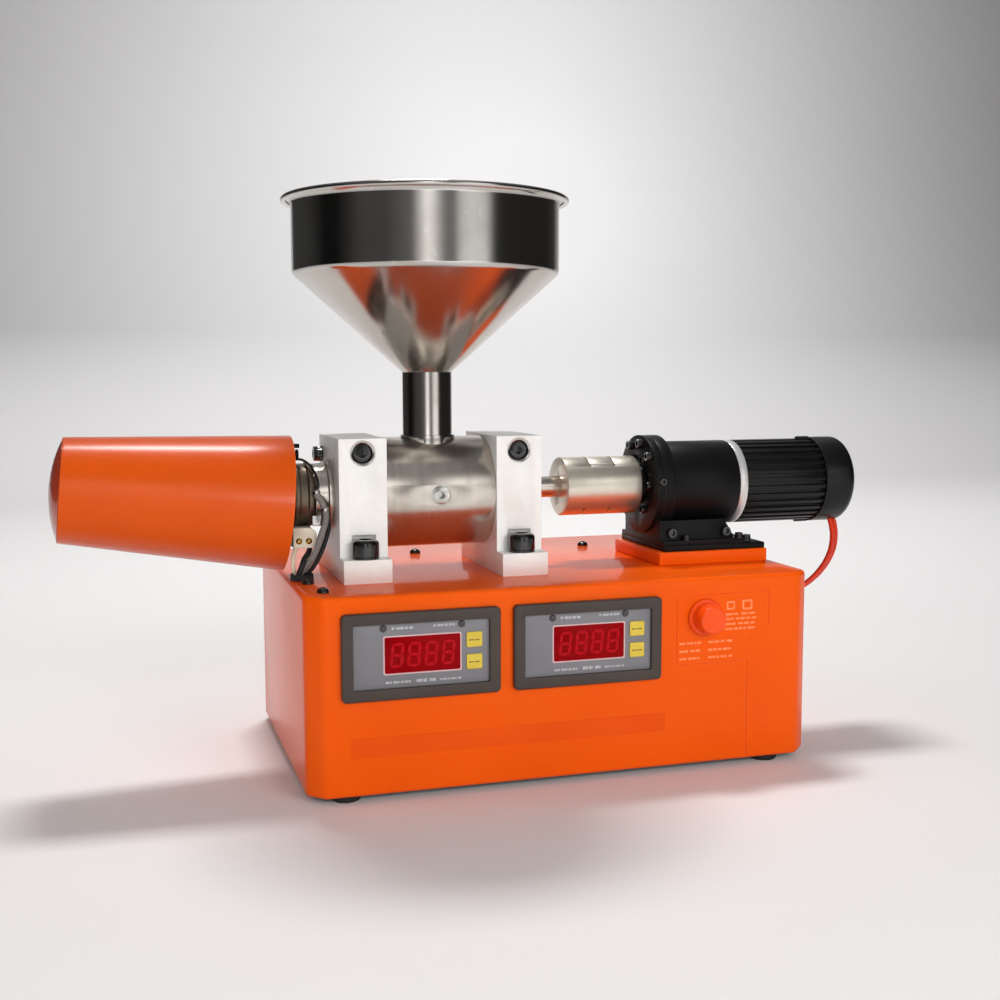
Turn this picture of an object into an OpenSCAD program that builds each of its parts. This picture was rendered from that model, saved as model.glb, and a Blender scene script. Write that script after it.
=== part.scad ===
// Bench-top filament extruder: control cabinet, feed housing with hopper, heated barrel, gearmotor.
// The drive line runs along X; the operator's side faces -Y; the bench is at Z = 0.

/* [Cabinet] */
// Width of the cabinet, side to side
cabinet_w = 328; // [325:1:330]
// Depth of the cabinet, front to back
cabinet_d = 215; // [212:1:220]
// Height of the cabinet body above its feet
cabinet_h = 119.5; // [117:0.5:122]
// Width of the chamfer on each upright corner
corner_cut = 10; // [8:1:12]
// Radius of the rounded folds of the cabinet
fold_r = 3; // [2:0.5:4]
// Height of the rubber feet
foot_h = 4; // [3:0.5:6]
// Diameter of the rubber feet
foot_d = 18; // [14:1:22]

/* [Panel meters] */
// Width of a meter's bezel, a standard panel size
meter_w = 96; // [96]
// Height of a meter's bezel
meter_h = 52; // [48:1:54]
// How far a bezel stands out of the front
meter_t = 4; // [3:0.5:6]
// Distance of the left meter from the cabinet's left side
meter_x = 20; // [18:1:24]
// Distance between the left edges of the two meters
meter_pitch = 104.4; // [102:0.2:106]
// Height of the meters' lower edges above the bench
meter_z = 61.6; // [56:0.2:64]

/* [Speed knob] */
// Diameter of the knob's collar
collar_d = 23.6; // [20:0.2:26]
// Diameter of the knob at its front
knob_d = 17.6; // [15:0.5:19]
// How far the knob stands out of the front
knob_out = 13; // [10:0.5:16]

/* [Drive line] */
// Height of the screw's axis above the cabinet
axis_h = 51.5; // [51:0.5:54]
// Distance of the screw's axis behind the cabinet's front
axis_y = 90.3; // [88:0.1:94]
// Diameter of the feed housing
housing_d = 71; // [69:0.5:72]
// Distance between the two bearing blocks
housing_l = 71; // [69:1:73]
// Diameter of the screw over its flight
screw_d = 16; // [15:0.5:16]
// Rise of the flight in one turn
screw_pitch = 16; // [14:1:20]
// Diameter of the drive shaft
shaft_d = 14; // [12:0.5:14]
// Diameter of the shaft coupling
coupling_d = 39.2; // [36:0.2:41]
// Length of the shaft coupling
coupling_l = 53.8; // [52:0.2:55]

/* [Bearing blocks] */
// Width of a bearing block along the drive line
block_w = 30; // [28:1:31]
// Depth of a bearing block's upright
block_d = 72; // [72:0.5:76]
// Height of a bearing block above the cabinet
block_h = 88; // [88:0.5:92]
// Height of a bearing block's foot
block_foot_h = 14.5; // [13:0.5:16]
// How far the foot reaches in front of and behind the upright
block_ledge = 13; // [12:0.5:15]
// Distance of the left block from the cabinet's left side
block_x = 30.2; // [30:0.2:32]

/* [Hopper] */
// Outer diameter of the hopper's straight part
hopper_d = 171; // [165:1:176]
// Outer diameter of the throat tube
throat_d = 32; // [30:0.5:33]
// Height of the rim's centre above the screw's axis
rim_rise = 186; // [182:1:190]
// Height of the shoulder above the screw's axis
shoulder_rise = 139.5; // [136:0.5:142]
// Height of the cone's lower end above the screw's axis
cone_rise = 77; // [75:0.5:79]
// Width of the rim outside the straight part
rim_out = 6.4; // [5:0.2:8]

/* [Heated barrel] */
// Diameter of the heated barrel
barrel_d = 30; // [28:1:32]
// Diameter of the heater bands
band_d = 41; // [40:0.5:42]
// Length of one heater band
band_l = 13; // [11:1:14]

/* [Heater cover] */
// Length of the conical cover
cover_l = 134.8; // [133:0.2:136]
// Diameter of the cover's open end
cover_d_open = 85.4; // [84:0.2:86]
// Diameter of the cover's closed end
cover_d_end = 64.4; // [63:0.2:65]
// Thickness of the cover
cover_t = 1.5; // [1.5:0.1:2]

/* [Gearmotor] */
// Diameter of the gearbox and of the motor over its ribs
motor_d = 58; // [55:0.5:59]
// Diameter of the mounting flange
flange_d = 67; // [66:0.5:68]
// Number of ribs round the motor
rib_count = 32; // [20:4:36]
// Diameter of the motor's rear cap
cap_d = 60; // [59:0.5:61]

/* [Hidden] */
$fn = 96;

orange = [0.90, 0.30, 0.06];
black = [0.07, 0.07, 0.08];
steel = [0.72, 0.71, 0.68];
polished = [0.80, 0.80, 0.80];
eps = 0.01;

// heights above the bench
cabinet_top = foot_h + cabinet_h;
axis_z = cabinet_top + axis_h;
block_top = cabinet_top + block_h;
ledge_z = cabinet_top + block_foot_h;

// stations along the drive line, from the cabinet's left side
housing_x = block_x + block_w;
right_block_x = housing_x + housing_l;
right_block_end = right_block_x + block_w;
coupling_x = right_block_end + 24.2;
coupling_end = coupling_x + coupling_l;
flange_x = coupling_end + 5;
flange_t = 5.5;
gear_flange_t = 7.8;
gearbox_x = flange_x + flange_t + gear_flange_t;
gearbox_l = 49.8;
ring_x = gearbox_x + gearbox_l;
ring_l = 5.7;
motor_x = ring_x + ring_l;
motor_l = 60.5;
cap_x = motor_x + motor_l;
cap_l = 24;
cover_x = 2.2;
cover_end_x = cover_x - cover_l;
dome_l = 6.8;
block_front = axis_y - block_d / 2;
hopper_x = housing_x + housing_l / 2 - 0.7;

// the cover's own axis rises to the left, so that its top line is level
cover_z_open = axis_z - 5.2;
cover_rise = (cover_d_open - cover_d_end) / 2 + 1.6;
cover_z_end = cover_z_open + cover_rise;
cover_tilt = atan2(cover_rise, cover_l);
cover_slant = norm([cover_l, cover_rise]);
// sphere of the dome that closes the cover, and the hole round the nozzle
dome_r = (pow(cover_d_end / 2, 2) + dome_l * dome_l) / (2 * dome_l);
dome_x = cover_end_x + (dome_r - dome_l) * cos(cover_tilt);
dome_z = cover_z_end - (dome_r - dome_l) * sin(cover_tilt);
end_hole_d = 18;

hopper_bend = 5;
hopper_t = 1.2;
bead_r = 1.8;

// height of the coupling's slits off the axis
slit_z = 14.5;

// heads of the screws that hold the cabinet's top
screw_head_d = 7.6;

// clearances
running_gap = 0.3;
pin_gap = 0.05;

// the knob and the seam round its panel
knob_x = 251.4;
knob_z = 98.3;
knob_pin_d = 6;
knob_pin_l = 8;
seam_w = 0.8;
seam_depth = 0.6;

// the plate that closes the cabinet from below
plate_t = 1.5;
seam_left = 231.5;
seam_right = 296.5;
seam_top = 112.3;
seam_step_z = 69.2;
seam_step_x = 281.5;

// layout of a meter's face, measured from the bezel's lower left corner
bezel_border = 6.8;
face_inset = 1.6;
window_at = [25.6, 15.6];
window_size = [45.6, 21.4];
key_size = [9.7, 9.1];
key_x = 75;
key_rows = [15, 28.3];

// riser and base of the gearmotor
bracket_x = flange_x + 3;
bracket_l = 60;
riser_x = bracket_x - 4.2;
riser_l = 79.4;
riser_d = 78;
riser_h = 8.8;
base_x = bracket_x;
base_l = 74.4;
base_d = 74;
base_t = 4;
base_z = cabinet_top + riser_h;
bracket_z = base_z + base_t;
bracket_foot_t = 3;
gusset_y = 30;
gusset_h = 16;

// block screws, M10 in the uprights and M12 in the feet
clamp_z = block_top - 9;
clamp_bore_d = 16;
clamp_head_d = 15;
ledge_head_d = 17;
ledge_head_h = 12;
ledge_screw_out = 8.2;

// the cover's mounting ring
cover_ring_x = cover_x - 7.9;
cover_ring_t = 2;
ring_holes = [60, 180, 300];

// nose of the gearbox, ribs of the motor and lugs of its cap
nose_d = 26;
rib_w = 2.5;
lug_d = 6.4;
lug_l = 8;

// screw flight
flight_from = -104;
flight_to = housing_x + housing_l - 12;
flight_root_d = 10;
flight_steps = 12;
bore_d = screw_d + 2 * running_gap;

// overall box of the machine, used to centre it on the origin
lead_bow_x = 398.6;
box_x_min = dome_x - sqrt(dome_r * dome_r - pow(end_hole_d / 2 - abs(dome_z - axis_z), 2));
box_x_max = lead_bow_x;
box_y_min = -knob_out;
box_y_max = cabinet_d;
centre = [(box_x_min + box_x_max) / 2, (box_y_min + box_y_max) / 2, 0];

// grommet in the cabinet's top and gland in its right side
grommet_at = [8.6, 68.6];
grommet_d = 15;
grommet_bore = 12.4;
gland_y = 84;
gland_z = 92;
gland_l = 4;

// cable routes: points of each centre line, held at both ends
sleeve_route = [
    [17.8, 66.2, 179.5], [18.6, 66, 176], [21.4, 66, 172], [23.9, 66, 164.5], [22.9, 66, 157.5],
    [20.6, 66, 151.5], [18.6, 66.5, 144.5], [15.3, 67.5, 137.5], [11.5, 70, 131.5], [8.8, 71.9, 127.8],
    [8.2, 72.2, 125.6]
];
loop_route = [
    [9.5, 92, 197.2], [12.6, 86, 197.2], [16, 78, 194.4], [18.8, 71, 188.4], [19.4, 67.6, 183], [18, 66.4, 180.6]
];
return_route = [
    [24.5, 70.4, 168.5], [25.4, 69.8, 163.5], [25.8, 69, 155], [22.8, 69.3, 144.5], [18.8, 68.8, 136],
    [15.4, 68.4, 131], [12.8, 69, 127.8], [12.4, 69.2, 125]
];
supply_route = [
    [14.5, 73, 142.5], [13.3, 71.4, 140], [10.2, 68.2, 136.6], [8.3, 66, 132.5], [6.3, 65.4, 128], [6, 65.4, 125]
];
cream_route = [
    [6, 72.6, 143.1], [4.6, 69, 141.6], [3.3, 67, 138.5], [3.1, 67.6, 133.5], [3.9, 69.4, 129], [4.6, 70.2, 126.8],
    [4.6, 70.2, 125]
];
// the outer motor lead; the inner one runs beside it and meets it again at the gland
lead_route = [
    [392.4, 84, 151], [394.4, 84, 146], [396.1, 84, 140], [396.8, 84, 134], [396, 84, 126], [393.2, 84, 118.6],
    [388.4, 84, 111.4], [381, 84, 104.2], [371.5, 84, 98.2], [358, 84, 94.2], [344, 84, 92.4],
    [cabinet_w + gland_l, gland_y, gland_z]
];
lead_r = 1.75;
lead_gap = 5.4;
function lead_line(side) = [for (p = lead_route)
    [p[0] - (1 - side) / 2 * lead_gap * min(1, (p[0] - cabinet_w - gland_l) / 40), p[1] + side * 2.3, p[2]]];

// ---------- helpers ----------

// a cylinder along X whose left end is at x
module along_x(x, length, d) {
    translate([x, axis_y, axis_z]) rotate([0, 90, 0]) cylinder(h = length, d = d);
}

// a rotate_extrude about the drive line: the profile's X is the radius, its Y runs along +X
module turned_x(x) {
    translate([x, axis_y, axis_z]) rotate([0, 90, 0]) rotate_extrude() children();
}

// a flat plate with rounded corners standing on the front face, thickness towards -Y
module front_plate(x, z, w, h, t, r) {
    translate([x, 0, z]) rotate([90, 0, 0]) linear_extrude(t) rounded_rect(w, h, r);
}

module rounded_rect(w, h, r) {
    corners = [[w - r, r, -90], [w - r, h - r, 0], [r, h - r, 90], [r, r, 180]];
    polygon([for (c = corners) for (a = [0 : 15 : 90]) [c[0] + r * cos(a + c[2]), c[1] + r * sin(a + c[2])]]);
}

// a socket-head cap screw's head standing on the XY plane
module socket_head(d, h) {
    difference() {
        union() {
            cylinder(h = h - 0.8, d = d, $fn = 48);
            translate([0, 0, h - 0.8]) cylinder(h = 0.8, d1 = d, d2 = d - 1.6, $fn = 48);
        }
        translate([0, 0, h / 2]) cylinder(h = h, d = d * 0.58, $fn = 6);
    }
}

// a button-head screw standing on the XY plane
module button_head(d, h) {
    difference() {
        intersection() {
            cylinder(h = h, d = d, $fn = 48);
            translate([0, 0, h - d * 0.72]) sphere(d * 0.72, $fn = 48);
        }
        translate([0, 0, h / 2]) cylinder(h = h, d = d * 0.4, $fn = 6);
    }
}

function unit(v) = v / norm(v);

// direction of a route at point i
function heading(route, i) =
    let (last = len(route) - 1)
    unit(route[min(i + 1, last)] - route[max(i - 1, 0)]);

// one point of a smooth curve through a route, between points i and i + 1
function spline_at(route, i, t) =
    let (last = len(route) - 1)
    let (a = route[max(i - 1, 0)], b = route[i], c = route[i + 1], d = route[min(i + 2, last)])
    0.5 * (2 * b + (c - a) * t + (2 * a - 5 * b + 4 * c - d) * t * t + (3 * b - a - 3 * c + d) * t * t * t);

// a smooth route with a number of steps between the points
function smooth(route, steps) = concat(
    [for (i = [0 : len(route) - 2]) for (k = [0 : steps - 1]) spline_at(route, i, k / steps)],
    [route[len(route) - 1]]
);

// a tube of n sides swept along a route
module cable(route, r, n = 8) {
    side = [for (i = [0 : len(route) - 1]) unit(cross(heading(route, i), [0.3, 1, 0.1]))];
    up = [for (i = [0 : len(route) - 1]) cross(side[i], heading(route, i))];
    points = [for (i = [0 : len(route) - 1]) for (k = [0 : n - 1])
        route[i] + r * cos(360 * k / n) * side[i] + r * sin(360 * k / n) * up[i]];
    last = len(route) - 1;
    walls = [for (i = [0 : last - 1]) for (k = [0 : n - 1])
        [i * n + k, (i + 1) * n + k, (i + 1) * n + (k + 1) % n, i * n + (k + 1) % n]];
    start = [for (k = [0 : n - 1]) k];
    end = [for (k = [n - 1 : -1 : 0]) last * n + k];
    polyhedron(points, concat(walls, [start, end]));
}

// ---------- cabinet ----------

// the rounded body: a ball below and above at each corner of the chamfered outline
module cabinet_body() {
    k = corner_cut + fold_r * tan(22.5);
    w = cabinet_w;
    d = cabinet_d;
    r = fold_r;
    corners = [[k, r], [w - k, r], [w - r, k], [w - r, d - k], [w - k, d - r], [k, d - r], [r, d - k], [r, k]];
    hull() {
        for (c = corners) {
            translate([c[0], c[1], foot_h + r]) sphere(r, $fn = 24);
            translate([c[0], c[1], cabinet_top - r]) sphere(r, $fn = 24);
        }
    }
}

// a straight seam cut into the front, from corner to corner of a box in X and Z
module seam(x0, z0, x1, z1) {
    translate([x0, -1, z0]) cube([x1 - x0, 1 + seam_depth, z1 - z0]);
}

module cabinet() {
    color(orange) difference() {
        cabinet_body();
        // recess for the base plate
        translate([0, 0, foot_h - 1]) linear_extrude(plate_t + 1) chamfered_rect(fold_r + 1);
        // hole for the knob's pin
        translate([knob_x, -1, knob_z]) rotate([-90, 0, 0]) cylinder(h = knob_pin_l + 2, d = knob_pin_d + 2);
        // the seam of the control panel
        seam(seam_left, seam_top, seam_right, seam_top + seam_w);
        seam(seam_right - seam_w, 91, seam_right, seam_top + seam_w);
        seam(seam_left, seam_step_z, seam_left + seam_w, seam_top + seam_w);
        seam(seam_left, seam_step_z - seam_w, seam_step_x, seam_step_z);
        seam(seam_step_x - seam_w, foot_h + 1, seam_step_x, seam_step_z);
    }
}

// the cabinet's outline, shrunk by an inset
module chamfered_rect(inset) {
    k = corner_cut + inset * tan(22.5);
    w = cabinet_w;
    d = cabinet_d;
    i = inset;
    polygon([[k, i], [w - k, i], [w - i, k], [w - i, d - k], [w - k, d - i], [k, d - i], [i, d - k], [i, k]]);
}

module base_plate() {
    color(black) translate([0, 0, foot_h]) linear_extrude(plate_t) chamfered_rect(fold_r + 1);
}

module feet() {
    color(black) for (x = [24, cabinet_w - 28]) for (y = [12, cabinet_d - 12])
        translate([x, y, 0]) {
            cylinder(h = 1, d1 = foot_d - 2, d2 = foot_d);
            translate([0, 0, 1]) cylinder(h = foot_h - 1, d = foot_d);
        }
}

module cabinet_screws() {
    color(black) for (p = [[9.8, 53.2], [13.6, 19.4], [230.4, 162], [103, 162]])
        translate([p[0], p[1], cabinet_top]) button_head(screw_head_d, 3.2);
}

// ---------- panel meters ----------

module bezel(x) {
    difference() {
        front_plate(x, meter_z, meter_w, meter_h, meter_t, 4);
        // sloping inner sides, from behind the bezel to in front of it
        hull() {
            bezel_opening(x, 1, 0);
            bezel_opening(x, -meter_t - 1, 2);
        }
    }
}

// a thin slice of the bezel's opening at a depth, grown on every side
module bezel_opening(x, y, grown) {
    edge = bezel_border - grown;
    translate([0, y, 0]) front_plate(x + edge, meter_z + edge, meter_w - 2 * edge, meter_h - 2 * edge, eps, 1.5 + grown);
}

module face(x) {
    inner = bezel_border;
    front_plate(x + inner, meter_z + inner, meter_w - 2 * inner, meter_h - 2 * inner, face_inset, 1.5);
}

module window(x) {
    translate([0, -face_inset, 0])
        front_plate(x + window_at[0], meter_z + window_at[1], window_size[0], window_size[1], 0.6, 1);
}

module keys(x) {
    for (row = key_rows) translate([0, -face_inset, 0])
        front_plate(x + key_x, meter_z + row, key_size[0], key_size[1], 0.9, 1);
}

module left_bezel() { color([0.20, 0.19, 0.19]) bezel(meter_x); }
module left_face() { color([0.36, 0.37, 0.39]) face(meter_x); }
module left_window() { color([0.45, 0.02, 0.03]) window(meter_x); }
module left_keys() { color([0.90, 0.70, 0.15]) keys(meter_x); }
module right_bezel() { color([0.20, 0.19, 0.19]) bezel(meter_x + meter_pitch); }
module right_face() { color([0.36, 0.37, 0.39]) face(meter_x + meter_pitch); }
module right_window() { color([0.45, 0.02, 0.03]) window(meter_x + meter_pitch); }
module right_keys() { color([0.90, 0.70, 0.15]) keys(meter_x + meter_pitch); }

// ---------- speed knob ----------

module knob_collar() {
    color(orange) translate([knob_x, 0, knob_z]) rotate([90, 0, 0]) difference() {
        union() {
            cylinder(h = 1.6, d = collar_d);
            translate([0, 0, 1.6]) cylinder(h = 0.8, d1 = collar_d, d2 = collar_d - 1.6);
        }
        translate([0, 0, -1]) cylinder(h = 5, d = knob_pin_d + 2 * pin_gap);
    }
}

module speed_knob() {
    h = knob_out - 2.4 - running_gap;
    color(orange) translate([knob_x, -2.4 - running_gap, knob_z]) rotate([90, 0, 0]) {
        rotate_extrude() polygon(concat(
            [[0, -knob_pin_l], [knob_pin_d / 2, -knob_pin_l], [knob_pin_d / 2, 0], [knob_d / 2 + 0.6, 0]],
            [for (a = [0 : 15 : 90]) [knob_d / 2 - 1.5 + 1.5 * cos(a), h - 1.5 + 1.5 * sin(a)]],
            [[0, h]]
        ));
    }
}

// ---------- bearing blocks ----------

module block(x) {
    foot_d_total = block_d + 2 * block_ledge;
    difference() {
        union() {
            translate([x, block_front, cabinet_top]) cube([block_w, block_d, block_h]);
            translate([x, block_front - block_ledge, cabinet_top]) cube([block_w, foot_d_total, block_foot_h]);
        }
        // counterbores of the clamp screws, front and back
        for (side = [-1, 1]) translate([x + block_w / 2, axis_y + side * (block_d / 2 - 10), clamp_z])
            rotate([-90 * side, 0, 0]) cylinder(h = 11, d = clamp_bore_d);
        // round reliefs for the heads of the foot screws
        for (side = [-1, 1]) translate([x + block_w / 2, ledge_screw_y(side), ledge_z])
            cylinder(h = ledge_head_h + 2, d = ledge_head_d + 1.2);
    }
}

function ledge_screw_y(side) = axis_y + side * (block_d / 2 + block_ledge - ledge_screw_out);

module left_block() {
    color(steel) difference() {
        block(block_x);
        along_x(block_x - 1, block_w + 2, barrel_d + 2 * pin_gap);
        for (p = [[46, 99.6], [58, 104.9]]) translate([p[0], p[1], block_top - 3]) cylinder(h = 4, d = 2.4);
    }
}

module right_block() {
    color(steel) difference() {
        block(right_block_x);
        along_x(right_block_x - 1, block_w + 2, shaft_d + 2 * running_gap);
    }
}

module block_screws() {
    color(black) {
        for (x = [block_x, right_block_x]) for (side = [-1, 1]) {
            translate([x + block_w / 2, axis_y + side * (block_d / 2 - 10), clamp_z])
                rotate([-90 * side, 0, 0]) socket_head(clamp_head_d, 8.5);
            translate([x + block_w / 2, ledge_screw_y(side), ledge_z]) socket_head(ledge_head_d, ledge_head_h);
        }
        translate([block_x, 116, clamp_z - 3.5]) rotate([0, -90, 0]) socket_head(10, 6);
    }
}

// ---------- feed housing and hopper ----------

module feed_housing() {
    color(steel) difference() {
        along_x(housing_x, housing_l, housing_d);
        along_x(housing_x - 1, housing_l + 2, bore_d);
        // seat of the throat tube and the feed hole under it
        translate([hopper_x, axis_y, axis_z + housing_d / 2 - 4]) cylinder(h = 10, d = throat_d);
        translate([hopper_x, axis_y, axis_z]) cylinder(h = housing_d, d = 20);
        // seat of the plug
        translate([hopper_x, axis_y - housing_d / 2 + 8, axis_z]) rotate([90, 0, 0]) cylinder(h = 20, d = 12.8);
    }
}

module housing_plug() {
    color(steel) intersection() {
        along_x(housing_x, housing_l, housing_d - 0.3);
        translate([hopper_x, axis_y - housing_d / 2 + 8, axis_z]) rotate([90, 0, 0]) difference() {
            cylinder(h = 20, d = 12.8);
            translate([0, 0, 4]) cylinder(h = 20, d = 5.2, $fn = 6);
            // groove between the plug and its threaded seat
            translate([0, 0, 7.2]) difference() {
                cylinder(h = 20, d = 12.9);
                translate([0, 0, -1]) cylinder(h = 22, d = 11.4);
            }
        }
    }
}

module throat_tube() {
    foot_z = axis_z + housing_d / 2 - 4;
    color(polished) translate([hopper_x, axis_y, 0]) difference() {
        union() {
            translate([0, 0, foot_z]) cylinder(h = cone_rise - housing_d / 2 + 4, d = throat_d);
            // saddle ring that sits on the housing
            difference() {
                translate([0, 0, axis_z + housing_d / 2 - 8]) cylinder(h = 9.2, d = throat_d + 3);
                translate([-throat_d, 0, axis_z]) rotate([0, 90, 0]) cylinder(h = 2 * throat_d, d = housing_d);
            }
        }
        translate([0, 0, foot_z - 1]) cylinder(h = 100, d = throat_d - 3);
    }
}

// left-hand normal of the line from a to b
function normal(a, b) = let (d = unit(b - a)) [-d[1], d[0]];

// a line of points moved sideways by t
function beside(p, t) = [for (i = [0 : len(p) - 1])
    let (before = normal(p[max(i - 1, 0)], p[max(i, 1)]))
    let (after = normal(p[min(i, len(p) - 2)], p[min(i + 1, len(p) - 1)]))
    p[i] + t * unit(before + after)];

function reversed(p) = [for (i = [len(p) - 1 : -1 : 0]) p[i]];

// the bowl's outside: cone, rounded shoulder, straight wall and flared rim
function hopper_line() =
    let (r_low = throat_d / 2, r_top = hopper_d / 2)
    let (slope = atan2(shoulder_rise - cone_rise, r_top - r_low))
    let (bend = hopper_bend, flare = 4)
    let (bend_start = r_top - bend + bend * cos(slope - 90))
    let (bend_z = cone_rise + (bend_start - r_low) * tan(slope) - bend * sin(slope - 90))
    let (wall_top = rim_rise - flare - 1)
    concat(
        [[r_low, cone_rise]],
        [for (i = [0 : 6]) let (a = (slope - 90) * (1 - i / 6)) [r_top - bend + bend * cos(a), bend_z + bend * sin(a)]],
        [for (a = [180 : -15 : 90]) [r_top + flare + flare * cos(a), wall_top + flare * sin(a)]],
        [[r_top + rim_out - bead_r, rim_rise - 1]]
    );

module hopper() {
    outside = hopper_line();
    color(polished) translate([hopper_x, axis_y, axis_z]) {
        union() {
            rotate_extrude() polygon(concat(outside, reversed(beside(outside, hopper_t))));
            // rolled bead of the rim
            rotate_extrude() translate([hopper_d / 2 + rim_out - bead_r, rim_rise - 1]) circle(bead_r, $fn = 32);
        }
    }
}

// ---------- moving drive line ----------

module extruder_screw() { color(steel) flighted_core(); }

// the screw's shank and the gearbox's shaft, which meet inside the coupling
module drive_shafts() {
    middle = coupling_x + coupling_l / 2;
    color(steel) {
        along_x(flight_to, middle - 1 - flight_to, shaft_d);
        along_x(middle + 1, gearbox_x - 5 - middle, shaft_d);
    }
}

// the screw's section, as distances and angles: a round core and one flight
function screw_section() = concat(
    [for (a = [0, 6, 34]) [screw_d / 2, a]],
    [[flight_root_d / 2 + 0.6, 42]],
    [for (a = [70 : 40 : 310]) [flight_root_d / 2, a]],
    [[flight_root_d / 2 + 0.6, -7]]
);

// the section swept along the axis while it turns once in each pitch
module flighted_core() {
    section = screw_section();
    n = len(section);
    length = flight_to - flight_from;
    rings = round(flight_steps * length / screw_pitch);
    points = [for (i = [0 : rings]) for (q = section)
        let (a = q[1] + 360 * length / screw_pitch * i / rings)
        [flight_from + length * i / rings, axis_y + q[0] * sin(a), axis_z + q[0] * cos(a)]];
    walls = [for (i = [0 : rings - 1]) for (k = [0 : n - 1]) for (half = [0, 1])
        let (here = i * n + k, beside = i * n + (k + 1) % n)
        half == 0 ? [here, beside, beside + n] : [here, beside + n, here + n]];
    start = [for (k = [n - 1 : -1 : 0]) k];
    end = [for (k = [0 : n - 1]) rings * n + k];
    polyhedron(points, concat(walls, [start, end]));
}

module shaft_coupling() {
    color([0.76, 0.73, 0.66]) difference() {
        union() {
            turned_x(coupling_x) polygon([[0, 0], [coupling_d / 2 - 0.8, 0], [coupling_d / 2, 0.8],
                [coupling_d / 2, coupling_l - 0.8], [coupling_d / 2 - 0.8, coupling_l], [0, coupling_l]]);
        }
        along_x(coupling_x - 1, coupling_l + 2, shaft_d);
        // spring slits, from above and from below
        for (s = [[17.2, 1], [34.6, 1], [13.3, -1], [31.2, -1]]) slit(coupling_x + s[0], s[1]);
        // clamping slot in the end hub
        translate([coupling_x - 1, axis_y - 1, axis_z - 12]) cube([9, 2, 24]);
    }
}

// a slit across the coupling that ends in a round hole beside the shaft
module slit(x, side) {
    translate([x, axis_y - coupling_d / 2 - 1, axis_z + side * slit_z]) {
        translate([0, 0, side > 0 ? 0 : -coupling_d / 2]) cube([1.2, coupling_d + 2, coupling_d / 2]);
        translate([0.6, 0, 0]) rotate([-90, 0, 0]) cylinder(h = coupling_d + 2, d = 2, $fn = 24);
    }
}

// ---------- heated barrel ----------

module hot_barrel() {
    color(steel) difference() {
        along_x(flight_from - 12, housing_x - flight_from + 12, barrel_d);
        along_x(flight_from - 13, housing_x - flight_from + 14, bore_d);
    }
}

module barrel_collar() {
    color(steel) difference() {
        union() {
            along_x(block_x - 11.4, 8, band_d - 2);
            along_x(block_x - 3.4, 3.4, band_d + 3);
        }
        along_x(block_x - 12, 13, barrel_d);
    }
}

band_starts = [5.2, -34, -64, -94];

module heater_bands() {
    color([0.62, 0.60, 0.56]) for (x = band_starts) difference() {
        union() {
            turned_x(x) polygon([[barrel_d / 2, 0], [band_d / 2 - 1, 0], [band_d / 2, 1], [band_d / 2, 3.5],
                [band_d / 2 - 0.8, 4.3], [band_d / 2 - 0.8, band_l - 4.3], [band_d / 2, band_l - 3.5],
                [band_d / 2, band_l - 1], [band_d / 2 - 1, band_l], [barrel_d / 2, band_l]]);
            // ears of the clamp
            translate([x + 2, axis_y - 4, axis_z - band_d / 2 - 5]) cube([band_l - 4, 8, 8]);
        }
        // the gap that the clamp's screw closes
        translate([x - 1, axis_y - 0.75, axis_z - band_d]) cube([band_l + 2, 1.5, band_d - barrel_d / 2 + 2]);
    }
}

// ceramic terminal under the first heater band, with a rounded end and the holes of its two screws
module terminal_block() {
    w = 14.6;
    h = 12.5;
    round_r = 5;
    color([0.88, 0.84, 0.76]) translate([4, axis_y - 20.3, axis_z - 31.7]) difference() {
        translate([0, 16, 0]) rotate([90, 0, 0]) linear_extrude(16) polygon(concat(
            [[0, 0], [w, 0]],
            [for (a = [0 : 15 : 90]) [w - round_r + round_r * cos(a), h - round_r + round_r * sin(a)]],
            [[0, h]]
        ));
        translate([-5, 20.3, 31.7]) rotate([0, 90, 0]) cylinder(h = 30, d = band_d + 0.1);
        for (x = [3.4, 9.6]) translate([x, -1, 4.2]) rotate([-90, 0, 0]) cylinder(h = 4, d = 4, $fn = 32);
    }
}

module nozzle() {
    from = flight_from - 12;
    color([0.80, 0.62, 0.28]) difference() {
        union() {
            along_x(from - 8, 8 + eps, 22);
            translate([from - 14, axis_y, axis_z]) rotate([0, 90, 0]) cylinder(h = 6, d = 17, $fn = 6);
            translate([from - 20, axis_y, axis_z]) rotate([0, 90, 0]) cylinder(h = 6, d1 = 5, d2 = 13);
        }
        along_x(from - 21, 12, 1.9);
        along_x(from - 9, 10, 8);
    }
}

// ---------- heater cover ----------

// turns a solid that stands on the XY plane to the cover's axis, at the cover's open end
module on_cover_axis() {
    translate([cover_x, axis_y, cover_z_open]) rotate([0, cover_tilt - 90, 0]) children();
}

module heater_cover() {
    taper = (cover_d_open - cover_d_end) / cover_slant;
    color(orange) on_cover_axis() difference() {
        cylinder(h = cover_slant, d1 = cover_d_open, d2 = cover_d_end);
        translate([0, 0, -1]) cylinder(
            h = cover_slant + 2,
            d1 = cover_d_open + taper - 2 * cover_t,
            d2 = cover_d_end - taper - 2 * cover_t
        );
    }
}

// shallow dome that closes the cover, open round the nozzle
module cover_end() {
    r = cover_d_end / 2;
    function dome_height(q) = sqrt(dome_r * dome_r - q * q) - dome_r + dome_l;
    color(orange) difference() {
        on_cover_axis() translate([0, 0, cover_slant]) rotate_extrude() polygon(concat(
            [[0, dome_l - cover_t], [0, dome_l]],
            [for (i = [1 : 11]) let (q = i / 12 * r) [q, dome_height(q)]],
            [[r, 0], [r - cover_t, 0]],
            [for (i = [10 : -1 : 1]) let (q = i / 12 * r) [q, dome_height(q) - cover_t]]
        ));
        along_x(cover_end_x - dome_l - 1, 20, end_hole_d);
    }
}

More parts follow.
